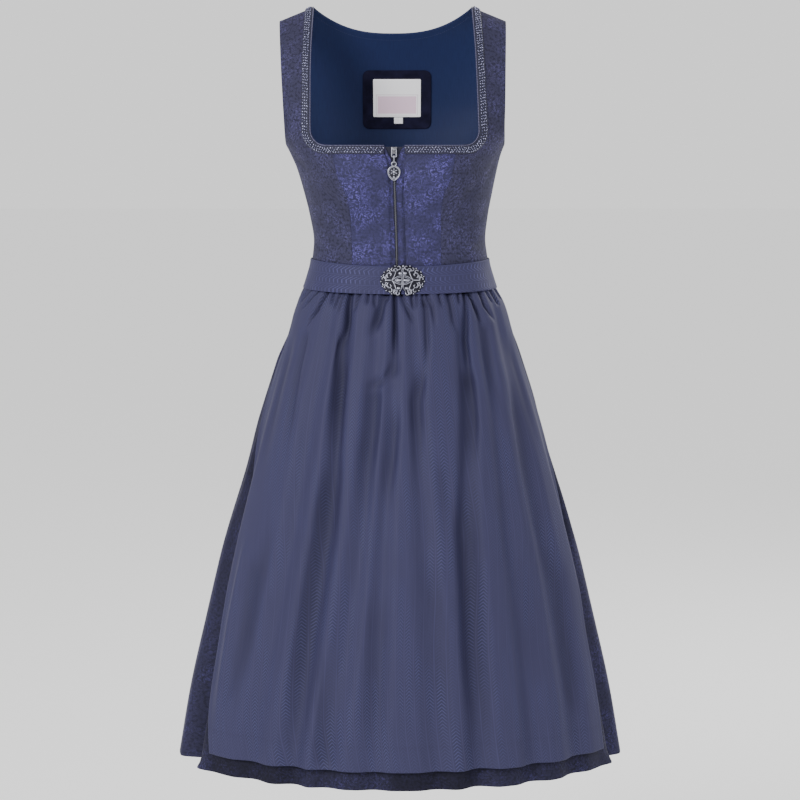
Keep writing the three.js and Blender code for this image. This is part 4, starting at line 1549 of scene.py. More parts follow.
@dataclass
class Bodice:
    """The boned bodice on broad straps, its lining, label and the braid along its neck."""

    finishes: Finishes
    braid_near: float = 1.3
    braid_width: float = 10.2
    braid_clear: float = 0.45
    bead_pitch: float = 4.0
    bead_rows: tuple[float, ...] = (2.4, 5.1, 7.8)
    arm_stitch: float = 6.0
    neck_stitch: float = 8.0
    placket_left: float = 5.0
    placket_right: float = 9.0
    sewing: Sewing = field(default_factory=Sewing)

    # drag lines below the bust, at the waist and by the armholes: places, depth, width, head
    CREASES = creases((
        ((-52, -236, -40, -262, -34, -300), 1.3, 7, 0.3),
        ((55, -232, 43, -258, 37, -292), 1.4, 7, 0.3),
        ((-82, -262, -60, -272, -44, -266), 1.1, 6, 0.4),
        ((84, -268, 64, -279, 47, -275), 1.2, 6, 0.4),
        ((-78, -318, -58, -326, -40, -322), 1.3, 5, 0.4),
        ((80, -312, 60, -322, 42, -318), 1.2, 5, 0.4),
        ((-30, -330, -16, -336, -6, -333), 0.9, 5, 0.4),
        ((28, -326, 15, -334, 5, -331), 0.9, 5, 0.4),
        ((-76, -196, -64, -216, -55, -232), 1.2, 8, 0.3),
        ((78, -192, 66, -214, 57, -234), 1.2, 8, 0.3),
        ((104, -250, 125, -262, 146, -258), 1.3, 8, 0.4),
        ((256, -246, 234, -259, 214, -254), 1.3, 8, 0.4),
        ((110, -316, 135, -327, 160, -323), 1.4, 6, 0.4),
        ((250, -312, 226, -324, 203, -321), 1.4, 6, 0.4),
        ((170, -334, 182, -339, 196, -336), 1.2, 5, 0.4),
        ((118, -180, 128, -205, 136, -232), 1.3, 9, 0.3),
        ((242, -176, 232, -203, 224, -228), 1.3, 9, 0.3),
    ))

    def relief(self, turn: Array, level: Array) -> Array:
        """Height of the creases over the form."""
        return creased(self.CREASES, np.degrees(turn), level, 120.0 + 0 * level)

    def centre(self, side: Side) -> None:
        """A centre front, from the zip to the princess seam.

        Args:
            side: The side of the garment.
        """
        rows = WAIST_SEAM_Z + (UNDERARM_Z - WAIST_SEAM_Z) * edged(84, UNDERARM_RISE)
        z = rows[:, None]
        inner = front_middle(z) + side.value * front_opening(z)
        outer = front_middle(z) + side.value * (PRINCESS_SEAM(z) - SEAM_LINE / 2)
        shares = edged(30, 60)[None, :]
        x = inner + (outer - inner) * shares
        if side is Side.LEFT:
            x = x[:, ::-1]
        turn, level = BODICE.turn(x, z), z + 0 * x
        placket = self.placket_left if side is Side.LEFT else self.placket_right
        from_edge = np.abs(x - front_middle(z)) - front_opening(z)
        groove = np.exp(-(((from_edge - placket) / 1.2) ** 2))
        # painted shade: a soft dark band beside the zip, and more in the placket's groove and the
        # creases
        painted_shade_by_zip = 0.5 * np.exp(-((from_edge / 2.2) ** 2))
        relief = self.relief(turn, level)
        shell = Shell(
            f"front_centre_{side.name.lower()}", BODICE.point, turn, level, 0.0, CLOTH,
            relief - 1.2 * groove, roll=0.15, fold=np.clip(groove + painted_shade_by_zip - 0.25 * relief, 0, 1),
            bolt=(0.0, 0.31 * side.value),
        )
        dress = self.finishes
        lay(shell, "brocade", Held.STRETCHED, ["skirt_front"], dress.brocade, dress.lining)

    def side_front(self, side: Side) -> None:
        """A side front with the front half of its strap.

        Args:
            side: The side of the garment.
        """
        shares = edged(38, 62)
        low = WAIST_SEAM_Z + (UNDERARM_Z - WAIST_SEAM_Z) * edged(84, UNDERARM_RISE, (0.45,))[:-2]
        seam_x = front_middle(low) + side.value * (PRINCESS_SEAM(low) + SEAM_LINE / 2)
        seam = BODICE.turn(seam_x, low)
        outer = side.value * math.pi / 2
        turns = seam[:, None] + (outer - seam[:, None]) * shares
        levels = low[:, None] + 0 * turns
        top_seam = front_middle(UNDERARM_Z) + side.value * (
            PRINCESS_SEAM(UNDERARM_Z) + SEAM_LINE / 2
        )
        first = BODICE.turn(top_seam, UNDERARM_Z)
        last_row = first + (outer - first) * shares
        places = BODICE.point(last_row, UNDERARM_Z + 0 * last_row)[:, 0]
        across = (places - places[0]) / (places[-1] - places[0])
        strap = np.concatenate(([UNDERARM_Z], FRONT_FALL.levels(CHEST_DEPTH, 92)))[:, None]
        inner_x = BODICE.shift(strap) + side.value * neck_edge(strap)
        outer_x = BODICE.shift(strap) + side.value * STRAP_ARM(strap)
        upper = BODICE.turn(inner_x + (outer_x - inner_x) * across, strap)
        upper[0] = last_row
        turn = np.concatenate((turns, upper))
        level = np.concatenate((levels, strap + 0 * upper))
        if side is Side.LEFT:
            turn = turn[:, ::-1]
        shell = Shell(
            f"front_side_{side.name.lower()}", BODICE.point, turn, level, 0.0, CLOTH,
            self.relief(turn, level), roll=0.15, bolt=(0.2, 0.43 * side.value),
        )
        faces = self.finishes.side_brocade, self.finishes.lining
        lay(shell, "side_brocade", Held.STRETCHED, ["skirt_front"], *faces)

    def back_grid(self, rows: int, neck_cells: int, strap_cells: int) -> tuple[Array, Array]:
        """Turns and levels of the back, from the waist over the blades to neck and ridge.

        Args:
            rows: Cells from the waist to the underarm.
            neck_cells: Cells across the neck.
            strap_cells: Cells across a strap.

        Returns:
            Turns and levels.
        """
        half = float(BODICE.half(UNDERARM_Z))
        corner = float(BODICE.turn_at(NECK_HALF_WIDTH / half))
        side = math.pi / 2
        angles = side + (corner - side) * edged(strap_cells, 44, (0.45, 1.1))
        x, _ = BODICE.ring(angles, half, 1.0, 1.0)
        strap_share = (x - NECK_HALF_WIDTH) / (float(STRAP_ARM(UNDERARM_Z)) - NECK_HALF_WIDTH)
        necks = np.linspace(NECK_HALF_WIDTH, -NECK_HALF_WIDTH, neck_cells + 1)[1:-1]
        neck_turns = np.sign(necks) * BODICE.turn_at(np.abs(necks) / half)
        turns = np.concatenate((math.pi - angles, math.pi - neck_turns, math.pi + angles[::-1]))
        low = WAIST_SEAM_Z + (UNDERARM_Z - WAIST_SEAM_Z) * edged(rows, UNDERARM_RISE, (0.45,))[:-1]
        low = np.concatenate((low[:-1], [UNDERARM_Z]))
        turn = np.broadcast_to(turns, (len(low), len(turns)))
        level = np.broadcast_to(low[:, None], turn.shape)
        high = BACK_FALL.levels(BACK_DEPTH, rows)[:, None]
        right = BODICE.back_turn(
            NECK_HALF_WIDTH + (STRAP_ARM(high) - NECK_HALF_WIDTH) * strap_share, high
        )
        left = 2 * math.pi - right[:, ::-1]
        neck_z = UNDERARM_Z + (back_neck(necks) - UNDERARM_Z) * BODICE.rise(high)
        middle = BODICE.back_turn(necks + 0 * neck_z, neck_z)
        strap_z = high + 0 * right
        upper_turn = np.concatenate((right, middle, left), axis=1)
        upper_level = np.concatenate((strap_z, neck_z, strap_z), axis=1)
        return np.concatenate((turn, upper_turn)), np.concatenate((level, upper_level))

    def back(self) -> None:
        """The back in one piece, and the satin lining behind it."""
        turn, level = self.back_grid(70, 72, 16)
        relief = self.relief(turn, level)
        shell = Shell("bodice_back", BODICE.point, turn, level, 0.0, CLOTH, relief)
        faces = self.finishes.side_brocade, self.finishes.lining
        lay(shell, "side_brocade", Held.STRETCHED, ["skirt_back"], *faces)
        behind = -CLOTH - SEAM_GAP
        shell = Shell("back_lining", BODICE.point, turn, level, behind, LINING, relief)
        lay(shell, "lining", Held.STRETCHED, ["bodice_back"], self.finishes.lining)

    def patch(
        self,
        name: str,
        centre: Pair,
        size: Pair,
        corner: float,
        front: float,
        thick: float,
        finish: Material,
        slot: str,
    ) -> None:
        """A flat patch with rounded corners, laid on the inside of the back.

        Args:
            name: The node and the piece.
            centre: X and Z of its middle.
            size: Width and height.
            corner: Radius of its corners.
            front: How far its hidden face lies before the back's outer face.
            thick: Its thickness.
            finish: Its finish.
            slot: The record's material slot.
        """
        x_0, z_0 = centre
        width, height = size
        z = (z_0 + (edged(26, height) - 0.5) * height)[:, None]
        to_corner = np.maximum(0, np.abs(z - z_0) - height / 2 + corner)
        half = width / 2 - corner + np.sqrt(np.maximum(0, corner**2 - to_corner**2))
        x = x_0 + half * (1 - 2 * edged(30, width))[None, :]
        turn = BODICE.back_turn(x - BODICE.shift(z), z + 0 * x)
        level = z + 0 * x
        shell = Shell(name, BODICE.point, turn, level, front, thick, self.relief(turn, level))
        lay(shell, slot, Held.LAID, ["back_lining"], finish)

    def label(self) -> None:
        """The velvet patch, the bare label on it and the size tag below."""
        on_lining = -CLOTH - SEAM_GAP - LINING - 0.8
        on_patch = on_lining - 1.0 - SEAM_GAP
        dress = self.finishes
        for name, centre, size, corner, front, thick, finish, slot in (
            ("label_patch", (5.8, -124), (97, 83), 9, on_lining, 1.0, dress.velvet, "velvet"),
            ("label", (5.8, -121.6), (67.5, 54), 1.5, on_patch, 0.7, dress.label, "label_satin"),
            ("size_tag", (7.9, -153.6), (12.6, 9), 0.5, on_patch, 0.7, dress.tag, "label_satin"),
        ):
            self.patch(name, centre, size, corner, front, thick, finish, slot)

    def neck_line(self, side: Side, out: float, height: float) -> Trace:
        """The line along the neck from the zip to the shoulder, a distance from its edge.

        Args:
            side: The side of the garment.
            out: Distance from the neck's edge, on the cloth.
            height: Distance before the cloth.

        Returns:
            The line.
        """
        start = float(front_opening(UNDERARM_Z)) + 1
        corner_x = float(STRAP_NECK(UNDERARM_Z)) - NECK_CORNER_RADIUS
        corner_z = UNDERARM_Z + NECK_CORNER_RADIUS
        along = np.linspace(start, corner_x, 40)
        bend = np.linspace(0, math.pi / 2, 20)[1:]
        strap = FRONT_FALL.levels(CHEST_DEPTH, 90)
        strap = strap[strap > corner_z]
        ring = NECK_CORNER_RADIUS + out
        away = np.concatenate((along, corner_x + ring * np.sin(bend), STRAP_NECK(strap) + out))
        level = np.concatenate(
            (0 * along + UNDERARM_Z - out, corner_z - ring * np.cos(bend), strap)
        )
        middle = np.where(np.arange(len(away)) < len(along), float(ZIP_CENTRE(UNDERARM_Z)), 0.0)
        share = np.clip((corner_x - away) / corner_x, 0, 1)
        x = BODICE.shift(level) + side.value * away + middle * share
        return Trace.on(BODICE.point, BODICE.turn(x, level), level, height)

    def braid(self, side: Side) -> None:
        """The braid along the neck: a dark cord ground, rows of beads and a piped edge.

        Args:
            side: The side of the garment.
        """
        lines = [
            self.neck_line(side, self.braid_near + share * self.braid_width, 0.0)
            for share in (0, 0.04, 0.12, 0.25, 0.4, 0.5, 0.6, 0.75, 0.88, 0.96, 1)
        ]
        grid = np.stack([line.points for line in lines][::-1])
        normals = np.stack([line.normals for line in lines][::-1])
        profile = np.array((0.15, 0.5, 0.75, 0.95, 0.8, 0.62, 0.8, 0.95, 0.75, 0.5, 0.15))
        if side is Side.LEFT:
            grid, normals = grid[:, ::-1], normals[:, ::-1]
        outer = grid + (self.braid_clear + 0.35 + profile[:, None, None]) * normals
        inner = grid + self.braid_clear * normals
        skin, edge, lining = double_wall(*grid.shape[:2])
        faces = np.concatenate((skin, lining, edge)).tolist()
        points = np.concatenate((outer.reshape(-1, 3), inner.reshape(-1, 3)))
        name = f"neck_braid_{side.name.lower()}"
        made = new_object(f"{name}_cord", points, faces)
        placed(made, "braid", [name], self.finishes.cord)
        beads = Joined()
        chance = np.random.default_rng(31 + side.value)
        for row, out in enumerate(self.bead_rows):
            line = self.neck_line(side, self.braid_near + out, self.braid_clear + 1.75)
            line = line.even(self.bead_pitch, start=0.3 + 0.5 * row)
            along = line.tangents()
            across = np.cross(line.normals, along)
            for i, (centre, way, aside, up) in enumerate(
                zip(line.points, along, across, line.normals)
            ):
                lean = (1 if (i // 2 + row) % 2 else -1) * chance.uniform(0.6, 1.5)
                tilted = unit(way + lean * aside)
                beside = np.cross(up, tilted)
                centre = centre + aside * chance.uniform(-0.5, 0.5) + way * chance.uniform(-0.4, 0.4)
                long, thick = chance.uniform(1.2, 2.0), chance.uniform(0.62, 0.85)
                axes = np.array((tilted * long, beside * thick, up * thick))
                beads.add(*bead(centre, axes))
        placed(beads.make(f"neck_beads_{side.name.lower()}"), "braid", finish=self.finishes.bead)
        piping = Joined()
        edge_line = self.neck_line(side, 0.35, 0.15).even(2.0, start=0.0)
        piping.add(*tube(edge_line.points, 0.75, sides=8))
        placed(piping.make(f"neck_piping_{side.name.lower()}"), "braid", finish=self.finishes.piping)

    def sew(self) -> None:
        """Stitches along the placket, the armholes and the back of the neck."""
        parts = Joined()
        for side in Side:
            z = np.linspace(WAIST_SEAM_Z + 24, UNDERARM_Z - 24, 90)
            placket = self.placket_left if side is Side.LEFT else self.placket_right
            x = front_middle(z) + side.value * (front_opening(z) + placket)
            self.sewing.sew(parts, Trace.on(BODICE.point, BODICE.turn(x, z), z, -0.35))
            strap = FRONT_FALL.levels(CHEST_DEPTH, 80)[:-3]
            x = BODICE.shift(strap) + side.value * (STRAP_ARM(strap) - self.arm_stitch)
            line = Trace.on(BODICE.point, BODICE.turn(x, strap), strap, ON_CLOTH)
            self.sewing.sew(parts, line)
            strap = BACK_FALL.levels(BACK_DEPTH, 80)[:-3]
            away = side.value * (STRAP_ARM(strap) - self.arm_stitch)
            line = Trace.on(BODICE.point, BODICE.back_turn(away, strap), strap, ON_CLOTH)
            self.sewing.sew(parts, line)
        away = np.linspace(NECK_HALF_WIDTH - 3, 3 - NECK_HALF_WIDTH, 160)
        level = back_neck(away) - self.neck_stitch
        turn = BODICE.back_turn(away, level)
        self.sewing.sew(parts, Trace.on(BODICE.point, turn, level, ON_CLOTH))
        behind = -CLOTH - SEAM_GAP - LINING - ON_CLOTH
        self.sewing.sew(parts, Trace.on(BODICE.point, turn, level, behind))
        placed(parts.make("stitches_bodice"), "side_brocade", finish=self.finishes.thread)

    def make(self) -> None:
        """Makes every piece of the bodice."""
        for side in Side:
            self.centre(side)
            self.side_front(side)
            self.braid(side)
        self.back()
        self.label()
        self.sew()


# ---------------------------------------------------------------- zip


@dataclass
class ZipFastener:
    """The front zip: tapes, teeth and slider, with its ring, link and drop pendant."""

    finishes: Finishes
    bottom: float = -362.0
    tape_thick: float = 0.9
    tooth_pitch: float = 2.4
    slider_z: float = -195.0
    slider_size: Triple = (8.0, 2.7, 9.5)
    pull_y: float = -120.2
    pull_z: float = -193.2
    pull_wire: float = 0.8
    pull_half: float = 3.0
    pull_drop: float = 9.9
    link_wire: float = 0.6
    link_half: float = 1.75
    link_top: float = 1.75
    link_drop: float = 8.2
    eye_radius: float = 3.0
    eye_wire: float = 0.7
    drop_half: float = 8.3
    drop_height: float = 19.4

    @property
    def middle(self) -> float:
        """X of the slider and of what hangs from it."""
        return float(front_middle(self.slider_z))

    def tape(self, side: Side) -> None:
        """A woven tape behind a front edge.

        Args:
            side: The side of the garment.
        """
        z = (self.bottom + (UNDERARM_Z - 1.5 - self.bottom) * edged(60, 172))[:, None]
        away = 0.9 + 12.1 * edged(8, 12)[None, :]
        x = front_middle(z) + side.value * away
        if side is Side.LEFT:
            x = x[:, ::-1]
        turn, level, word = BODICE.turn(x, z), z + 0 * x, side.name.lower()
        front = -CLOTH - SEAM_GAP
        shell = Shell(f"zip_tape_{word}", BODICE.point, turn, level, front, self.tape_thick)
        lay(shell, "zip_tape", Held.HUNG, [f"front_centre_{word}"], self.finishes.tape)

    def teeth(self) -> None:
        """Closed rows of teeth, each a small rounded block that hooks between two others."""
        parts = Joined()
        levels = np.arange(self.bottom + 1, -200.5, self.tooth_pitch / 2)
        for i, z in enumerate(levels):
            side = 1 if i % 2 else -1
            x = front_middle(z) + side * 0.45
            turn = BODICE.turn(np.array([x]), np.array([z]))
            trace = Trace.on(BODICE.point, turn, np.array([z]), -1.1)
            out = trace.normals[0]
            aside = unit(np.cross((0.0, 0.0, 1.0), -out))
            axes = np.array((aside * 1.3, np.cross(out, aside) * 0.5, out * 0.75))
            parts.add(*bead(trace.points[0], axes, rings=3, sides=8), recess=0.15)
        placed(parts.make("zip_chain_teeth"), "zip_metal", ["zip_chain"], self.finishes.zip_metal)

    def slider(self) -> None:
        """The slider: a rounded plate over the teeth, with a bridge for the ring."""
        x_0 = self.middle
        turn = BODICE.turn(np.array([x_0]), np.array([self.slider_z]))
        face = float(BODICE.point(turn, np.array([self.slider_z]))[0, 1])
        front = face - 1.6
        width, depth, height = self.slider_size
        block = bmesh.new()
        bmesh.ops.create_cube(block, size=1.0)
        for vertex in block.verts:
            taper = 0.8 if vertex.co.z < 0 else 1.0
            vertex.co.x *= width * taper
            vertex.co.y *= depth
            vertex.co.z *= height
        bmesh.ops.bevel(
            block, geom=block.edges[:], offset=0.9, segments=3, profile=0.5, affect="EDGES"
        )
        block.verts.index_update()
        middle = np.array((x_0, front + depth / 2, self.slider_z))
        points = np.array([vertex.co[:] for vertex in block.verts]) + middle
        faces = [tuple(vertex.index for vertex in face.verts) for face in block.faces]
        block.free()
        parts = Joined()
        parts.add(points, faces, recess=0.2)
        tip = self.pull_y - 1.65
        upper = [(front + 0.4, 2.2), (front - 0.6, 2.3), (tip + 0.75, 2.0), (tip + 0.15, 1.1)]
        bridge = [*upper, (tip, 0.0), *((y, -z) for y, z in upper[::-1])]
        path = np.array([(x_0, y, self.pull_z + z) for y, z in bridge])
        for offset in (-0.75, 0.0, 0.75):
            parts.add(*tube(path + (offset, 0, 0), 0.5, sides=8), recess=0.1)
        placed(parts.make("zip_slider_body"), "old_silver", ["zip_slider"], self.finishes.zip_metal)

    def loop(self, half: float, corner: float, drop: float) -> Array:
        """A closed link with straight bars and round corners, its top bar at height 0.

        Args:
            half: Half-width to the middle of the wire.
            corner: Radius of its corners.
            drop: Height to the middle of the lower bar.

        Returns:
            Points as across and up.
        """
        bends = (
            (half - corner, -corner),
            (corner - half, -corner),
            (corner - half, corner - drop),
            (half - corner, corner - drop),
        )
        line = []
        for quarter, (u, z) in enumerate(bends):
            for bend in np.linspace(0, math.pi / 2, 7):
                angle = bend + quarter * math.pi / 2
                line.append((u + corner * math.cos(angle), z + corner * math.sin(angle)))
        return np.array(line)

    def rings(self) -> None:
        """The pull's ring, and the small link that the pendant hangs in."""
        x_0 = self.middle
        line = self.loop(self.pull_half, 1.1, self.pull_drop)
        path = np.stack(
            (x_0 + line[:, 0], self.pull_y + 0 * line[:, 0], self.pull_z + line[:, 1]), axis=1
        )
        ring = Joined()
        ring.add(*tube(path, self.pull_wire, sides=14, closed=True), recess=0.1)
        placed(ring.make("zip_pull_ring"), "old_silver", ["zip_pull"], self.finishes.silver, Body.PULL)
        line = self.loop(self.link_half, 1.1, self.link_drop + self.link_top)
        top = self.pull_z - self.pull_drop + self.link_top
        path = np.stack((x_0 + 0 * line[:, 0], self.pull_y - line[:, 0], top + line[:, 1]), axis=1)
        link = Joined()
        link.add(*tube(path, self.link_wire, sides=12, closed=True), recess=0.1)
        made = link.make("zip_link_wire")
        placed(made, "old_silver", ["zip_link"], self.finishes.silver, Body.PENDANT)

    def drop_outline(self, count: int, scale: float) -> Array:
        """The drop's outline as across and up from the middle of its round part.

        Args:
            count: Number of points.
            scale: Size, 1 for the rim.

        Returns:
            Points, starting at the top.
        """
        turns = np.linspace(0, 2 * math.pi, count, endpoint=False)
        low = np.maximum(0, -np.cos(turns))
        across = self.drop_half * np.sin(turns) * (1 - 0.3 * low**2.5)
        up = np.where(np.cos(turns) > 0, 7.6, self.drop_height - 7.6) * np.cos(turns)
        return np.stack((across, up), axis=1) * scale

    def pendant(self) -> None:
        """The drop pendant: a domed openwork plate, beaded rim, two bosses and an eye."""
        x_0 = self.middle
        link_floor = self.pull_z - self.pull_drop - self.link_drop + self.link_wire
        top = link_floor + SEAM_GAP + 2 * self.eye_wire
        outer = self.eye_radius + self.eye_wire
        crown = top - 2 * outer + 1.2
        centre = np.array((x_0, self.pull_y, crown - 7.6))

        def at(place: Array, lift: Array | float) -> Array:
            """Places on the drop, a height before its back."""
            x, z = place[..., 0], place[..., 1]
            return np.stack((centre[0] + x, centre[1] + 0.9 - lift + 0 * x, centre[2] + z), -1)

        parts = Joined()
        scales = (0.02, 0.3, 0.6, 0.85, 0.97)
        grid = [self.drop_outline(40, scale) for scale in scales]
        domes = [1.2 + 1.1 * (1 - scale**2) for scale in scales]
        faces: Faces = []
        rings = [at(ring, dome) for ring, dome in zip(grid, domes)]
        rings += [at(grid[4], 0.0), at(grid[0], 0.0)]
        for i in range(len(rings) - 1):
            for j in range(40):
                k = (j + 1) % 40
                faces.append((i * 40 + j, i * 40 + k, i * 40 + 40 + k, i * 40 + 40 + j))
        faces.append(tuple(range(40))[::-1])
        faces.append(tuple(240 + j for j in range(40)))
        parts.add(np.concatenate(rings), faces, recess=0.95)
        rim = at(self.drop_outline(56, 0.95), 1.5)
        parts.add(*tube(rim, 0.75, sides=8, closed=True), recess=0.05)
        for place in at(self.drop_outline(22, 0.8), 1.9):
            axes = np.eye(3) * 0.72
            parts.add(*bead(place, axes, rings=4, sides=7), recess=0.0)
        for angle in np.linspace(0, 2 * math.pi, 6, endpoint=False):
            way = np.array((math.sin(angle), math.cos(angle)))
            petal = at(way * 3.4 + (0, -0.2), 2.5)
            x, z = way
            axes = np.array(((x * 1.6, 0, z * 1.6), (z * 0.8, 0, -x * 0.8), (0, -0.7, 0)))
            parts.add(*bead(petal, axes, rings=4, sides=8), recess=0.1)
        boss = at(np.array((0.0, -0.2)), 3.0)
        parts.add(*bead(boss, np.eye(3) * (1.9, 1.5, 1.9), rings=6, sides=12))
        low = at(np.array((0.0, -7.4)), 2.3)
        parts.add(*bead(low, np.eye(3) * (1.4, 1.1, 1.6), rings=5, sides=10))
        turns = np.linspace(0, 2 * math.pi, 28, endpoint=False)
        eye = np.stack(
            (x_0 + self.eye_radius * np.sin(turns), self.pull_y + 0 * turns,
             top - outer + self.eye_radius * np.cos(turns)), axis=1
        )
        parts.add(*tube(eye, self.eye_wire, sides=10, closed=True), recess=0.1)
        made = parts.make("zip_pendant_drop")
        placed(made, "old_silver", ["zip_pendant"], self.finishes.silver, Body.PENDANT)

    def make(self) -> None:
        """Makes every piece of the zip."""
        for side in Side:
            self.tape(side)
        self.teeth()
        self.slider()
        self.rings()
        self.pendant()


# ---------------------------------------------------------------- skirt


def uneven_gathers(start: float, stop: float, count: int, seed: int) -> tuple[Crease, ...]:
    """Small gathers below a waist seam, uneven in place, lean, depth and length.

    Args:
        start: Turn of the first, in degrees.
        stop: Turn of the last.
        count: Number of gathers.
        seed: Seed of their unevenness.

    Returns:
        The gathers.
    """
    chance = np.random.default_rng(seed)
    pitch = (stop - start) / count
    made = []
    for i in range(count):
        turn = start + (i + 0.5 + chance.uniform(-0.3, 0.3)) * pitch
        length = chance.choice((22, 34, 48, 75, 110)) * chance.uniform(0.8, 1.2)
        lean = chance.uniform(-0.5, 0.5) * pitch * length / 60
        line = ((turn, -378.0), (turn + lean * 0.4, -385 - length * 0.4), (turn + lean, -385 - length))
        depth = chance.uniform(3.5, 7.0)
        made.append(Crease(line, depth, chance.uniform(3.2, 5.0) + length / 40))
    return tuple(made)


# the sides lie closer to the hips, just below the waist: places, depth, width, head
HIPS = creases((
    ((-88, -390, -88, -430, -88, -490), 4.5, 32, 0.2),
    ((92, -390, 92, -430, 92, -480), 1.5, 26, 0.2),
))


@dataclass
class Skirt:
    """Two gathered panels of brocade, joined at the sides, with a deep turned hem."""

    finishes: Finishes
    cut: Triple = (0.95, 0.62, 0.69)
    hem: float = 30.0
    drawn_back: float = 6.0

    # soft troughs between the large folds: places, depth, width, head, tail
    CREASES = creases((
        ((-86, -470, -85, -620, -84, -760), 5, 16, 0.3),
        ((-79, -560, -78, -720, -79, -930), 4, 13, 0.3),
        ((-62, -760, -63, -900, -62, -1036), 5, 15, 0.4, 0.05),
        ((87, -450, 88, -600, 87, -770), 5, 15, 0.3),
        ((70, -700, 71, -860, 69, -1036), 5, 14, 0.4, 0.05),
        ((95, -520, 95, -700, 96, -900), 6, 17, 0.3),
        ((114, -480, 115, -640, 115, -860), 5, 14, 0.3),
        ((133, -560, 134, -760, 135, -1000), 6, 18, 0.3),
        ((153, -470, 155, -640, 156, -830), 5, 15, 0.3),
        ((173, -520, 173, -720, 175, -960), 6, 17, 0.3),
        ((193, -460, 193, -600, 192, -790), 5, 14, 0.3),
        ((212, -540, 211, -720, 211, -930), 6, 17, 0.3),
        ((231, -480, 231, -660, 230, -880), 5, 15, 0.3),
        ((249, -520, 248, -720, 248, -980), 5, 16, 0.3),
        ((266, -560, 266, -740, 267, -940), 5, 14, 0.3),
        ((147, -880, 152, -905, 160, -915), 3, 9, 0.4),
        ((214, -800, 221, -826, 230, -836), 3, 10, 0.4),
    ))
    GATHERS = uneven_gathers(84, 276, 44, seed=11) + uneven_gathers(-90, -80, 2, seed=5)

    def relief(self, turn: Array, z: Array) -> Array:
        """Height of gathers and creases over the form, flat and drawn back under the apron.

        Args:
            turn: Turns in radians.
            z: Heights.

        Returns:
            Heights in millimetres.
        """
        degrees = np.degrees(turn)
        height = creased(self.CREASES + HIPS + self.GATHERS, degrees, z, SKIRT.reach(z))
        cover = SKIRT.cover(turn, z)
        room = smooth(-1005, -930, z) * (1 - smooth(-440, -400, z)) * cover * cover
        return height * (1 - cover) - self.drawn_back * room - 0.35 * self.hem_line(z)

    def fold(self, turn: Array, z: Array) -> Array:
        """How much painted shade the cloth gets, from 0 to 1: in its folds, and as a painted shadow
        under the apron.

        Args:
            turn: Turns in radians.
            z: Heights.

        Returns:
            Shares from 0 to 1.
        """
        degrees = np.degrees(turn)
        small = -creased(self.CREASES + self.GATHERS, degrees, z, SKIRT.reach(z))
        cover = SKIRT.cover(turn, z)
        degrees = (degrees + 180) % 360 - 180
        # painted shadow of the apron on the hem strip, left lighter in a few lit stretches near the hem
        lit = smooth(-30, -26, degrees) * (1 - smooth(-6, 0, degrees)) + smooth(17, 23, degrees)
        shade = cover * (1 - 0.45 * lit * (1 - smooth(-1022, -1006, z)))
        return np.clip((small / 9 + SKIRT.sink(turn, z) / 60) * (1 - cover) + shade, 0, 1)

    def hem_line(self, z: Array) -> Array:
        """The faint groove where the hem is caught from behind."""
        return np.exp(-(((z - SKIRT_HEM_Z - self.hem) / 1.6) ** 2))

    def rows(self, count: int) -> Array:
        """Heights from the hem to the waist seam, closer together in the gathers.

        Args:
            count: Number of even steps.

        Returns:
            Rising heights.
        """
        share = edged(count, 670)
        height = share + 0.35 * share * (1 - share)
        return SKIRT_HEM_Z + (WAIST_SEAM_Z - SEAM_GAP - SKIRT_HEM_Z) * height

    def panel(self, name: str, turns: Array, rows: int, rests_on: str) -> None:
        """One of the two panels.

        Args:
            name: The node and the piece.
            turns: Turns across it, from side seam to side seam.
            rows: Number of its rows.
            rests_on: The piece that its gathers hang from.
        """
        turn, z = np.meshgrid(turns, self.rows(rows))
        shell = Shell(
            name, SKIRT.skirt, turn, z, 0.0, SKIRT_CLOTH, self.relief(turn, z),
            step=0.006, flat=self.cut, fold=self.fold(turn, z),
        )
        lay(shell, "skirt_brocade", Held.GATHERED, [rests_on], self.finishes.skirt_brocade)

    def make(self) -> None:
        """Makes both panels."""
        edge = math.pi / 2
        self.panel("skirt_front", -edge + 2 * edge * edged(230, 900), 110, "front_centre_left")
        turns = edge + (2 * math.pi - 2 * edge) * edged(290, 1000)
        self.panel("skirt_back", turns, 150, "bodice_back")


# ---------------------------------------------------------------- apron


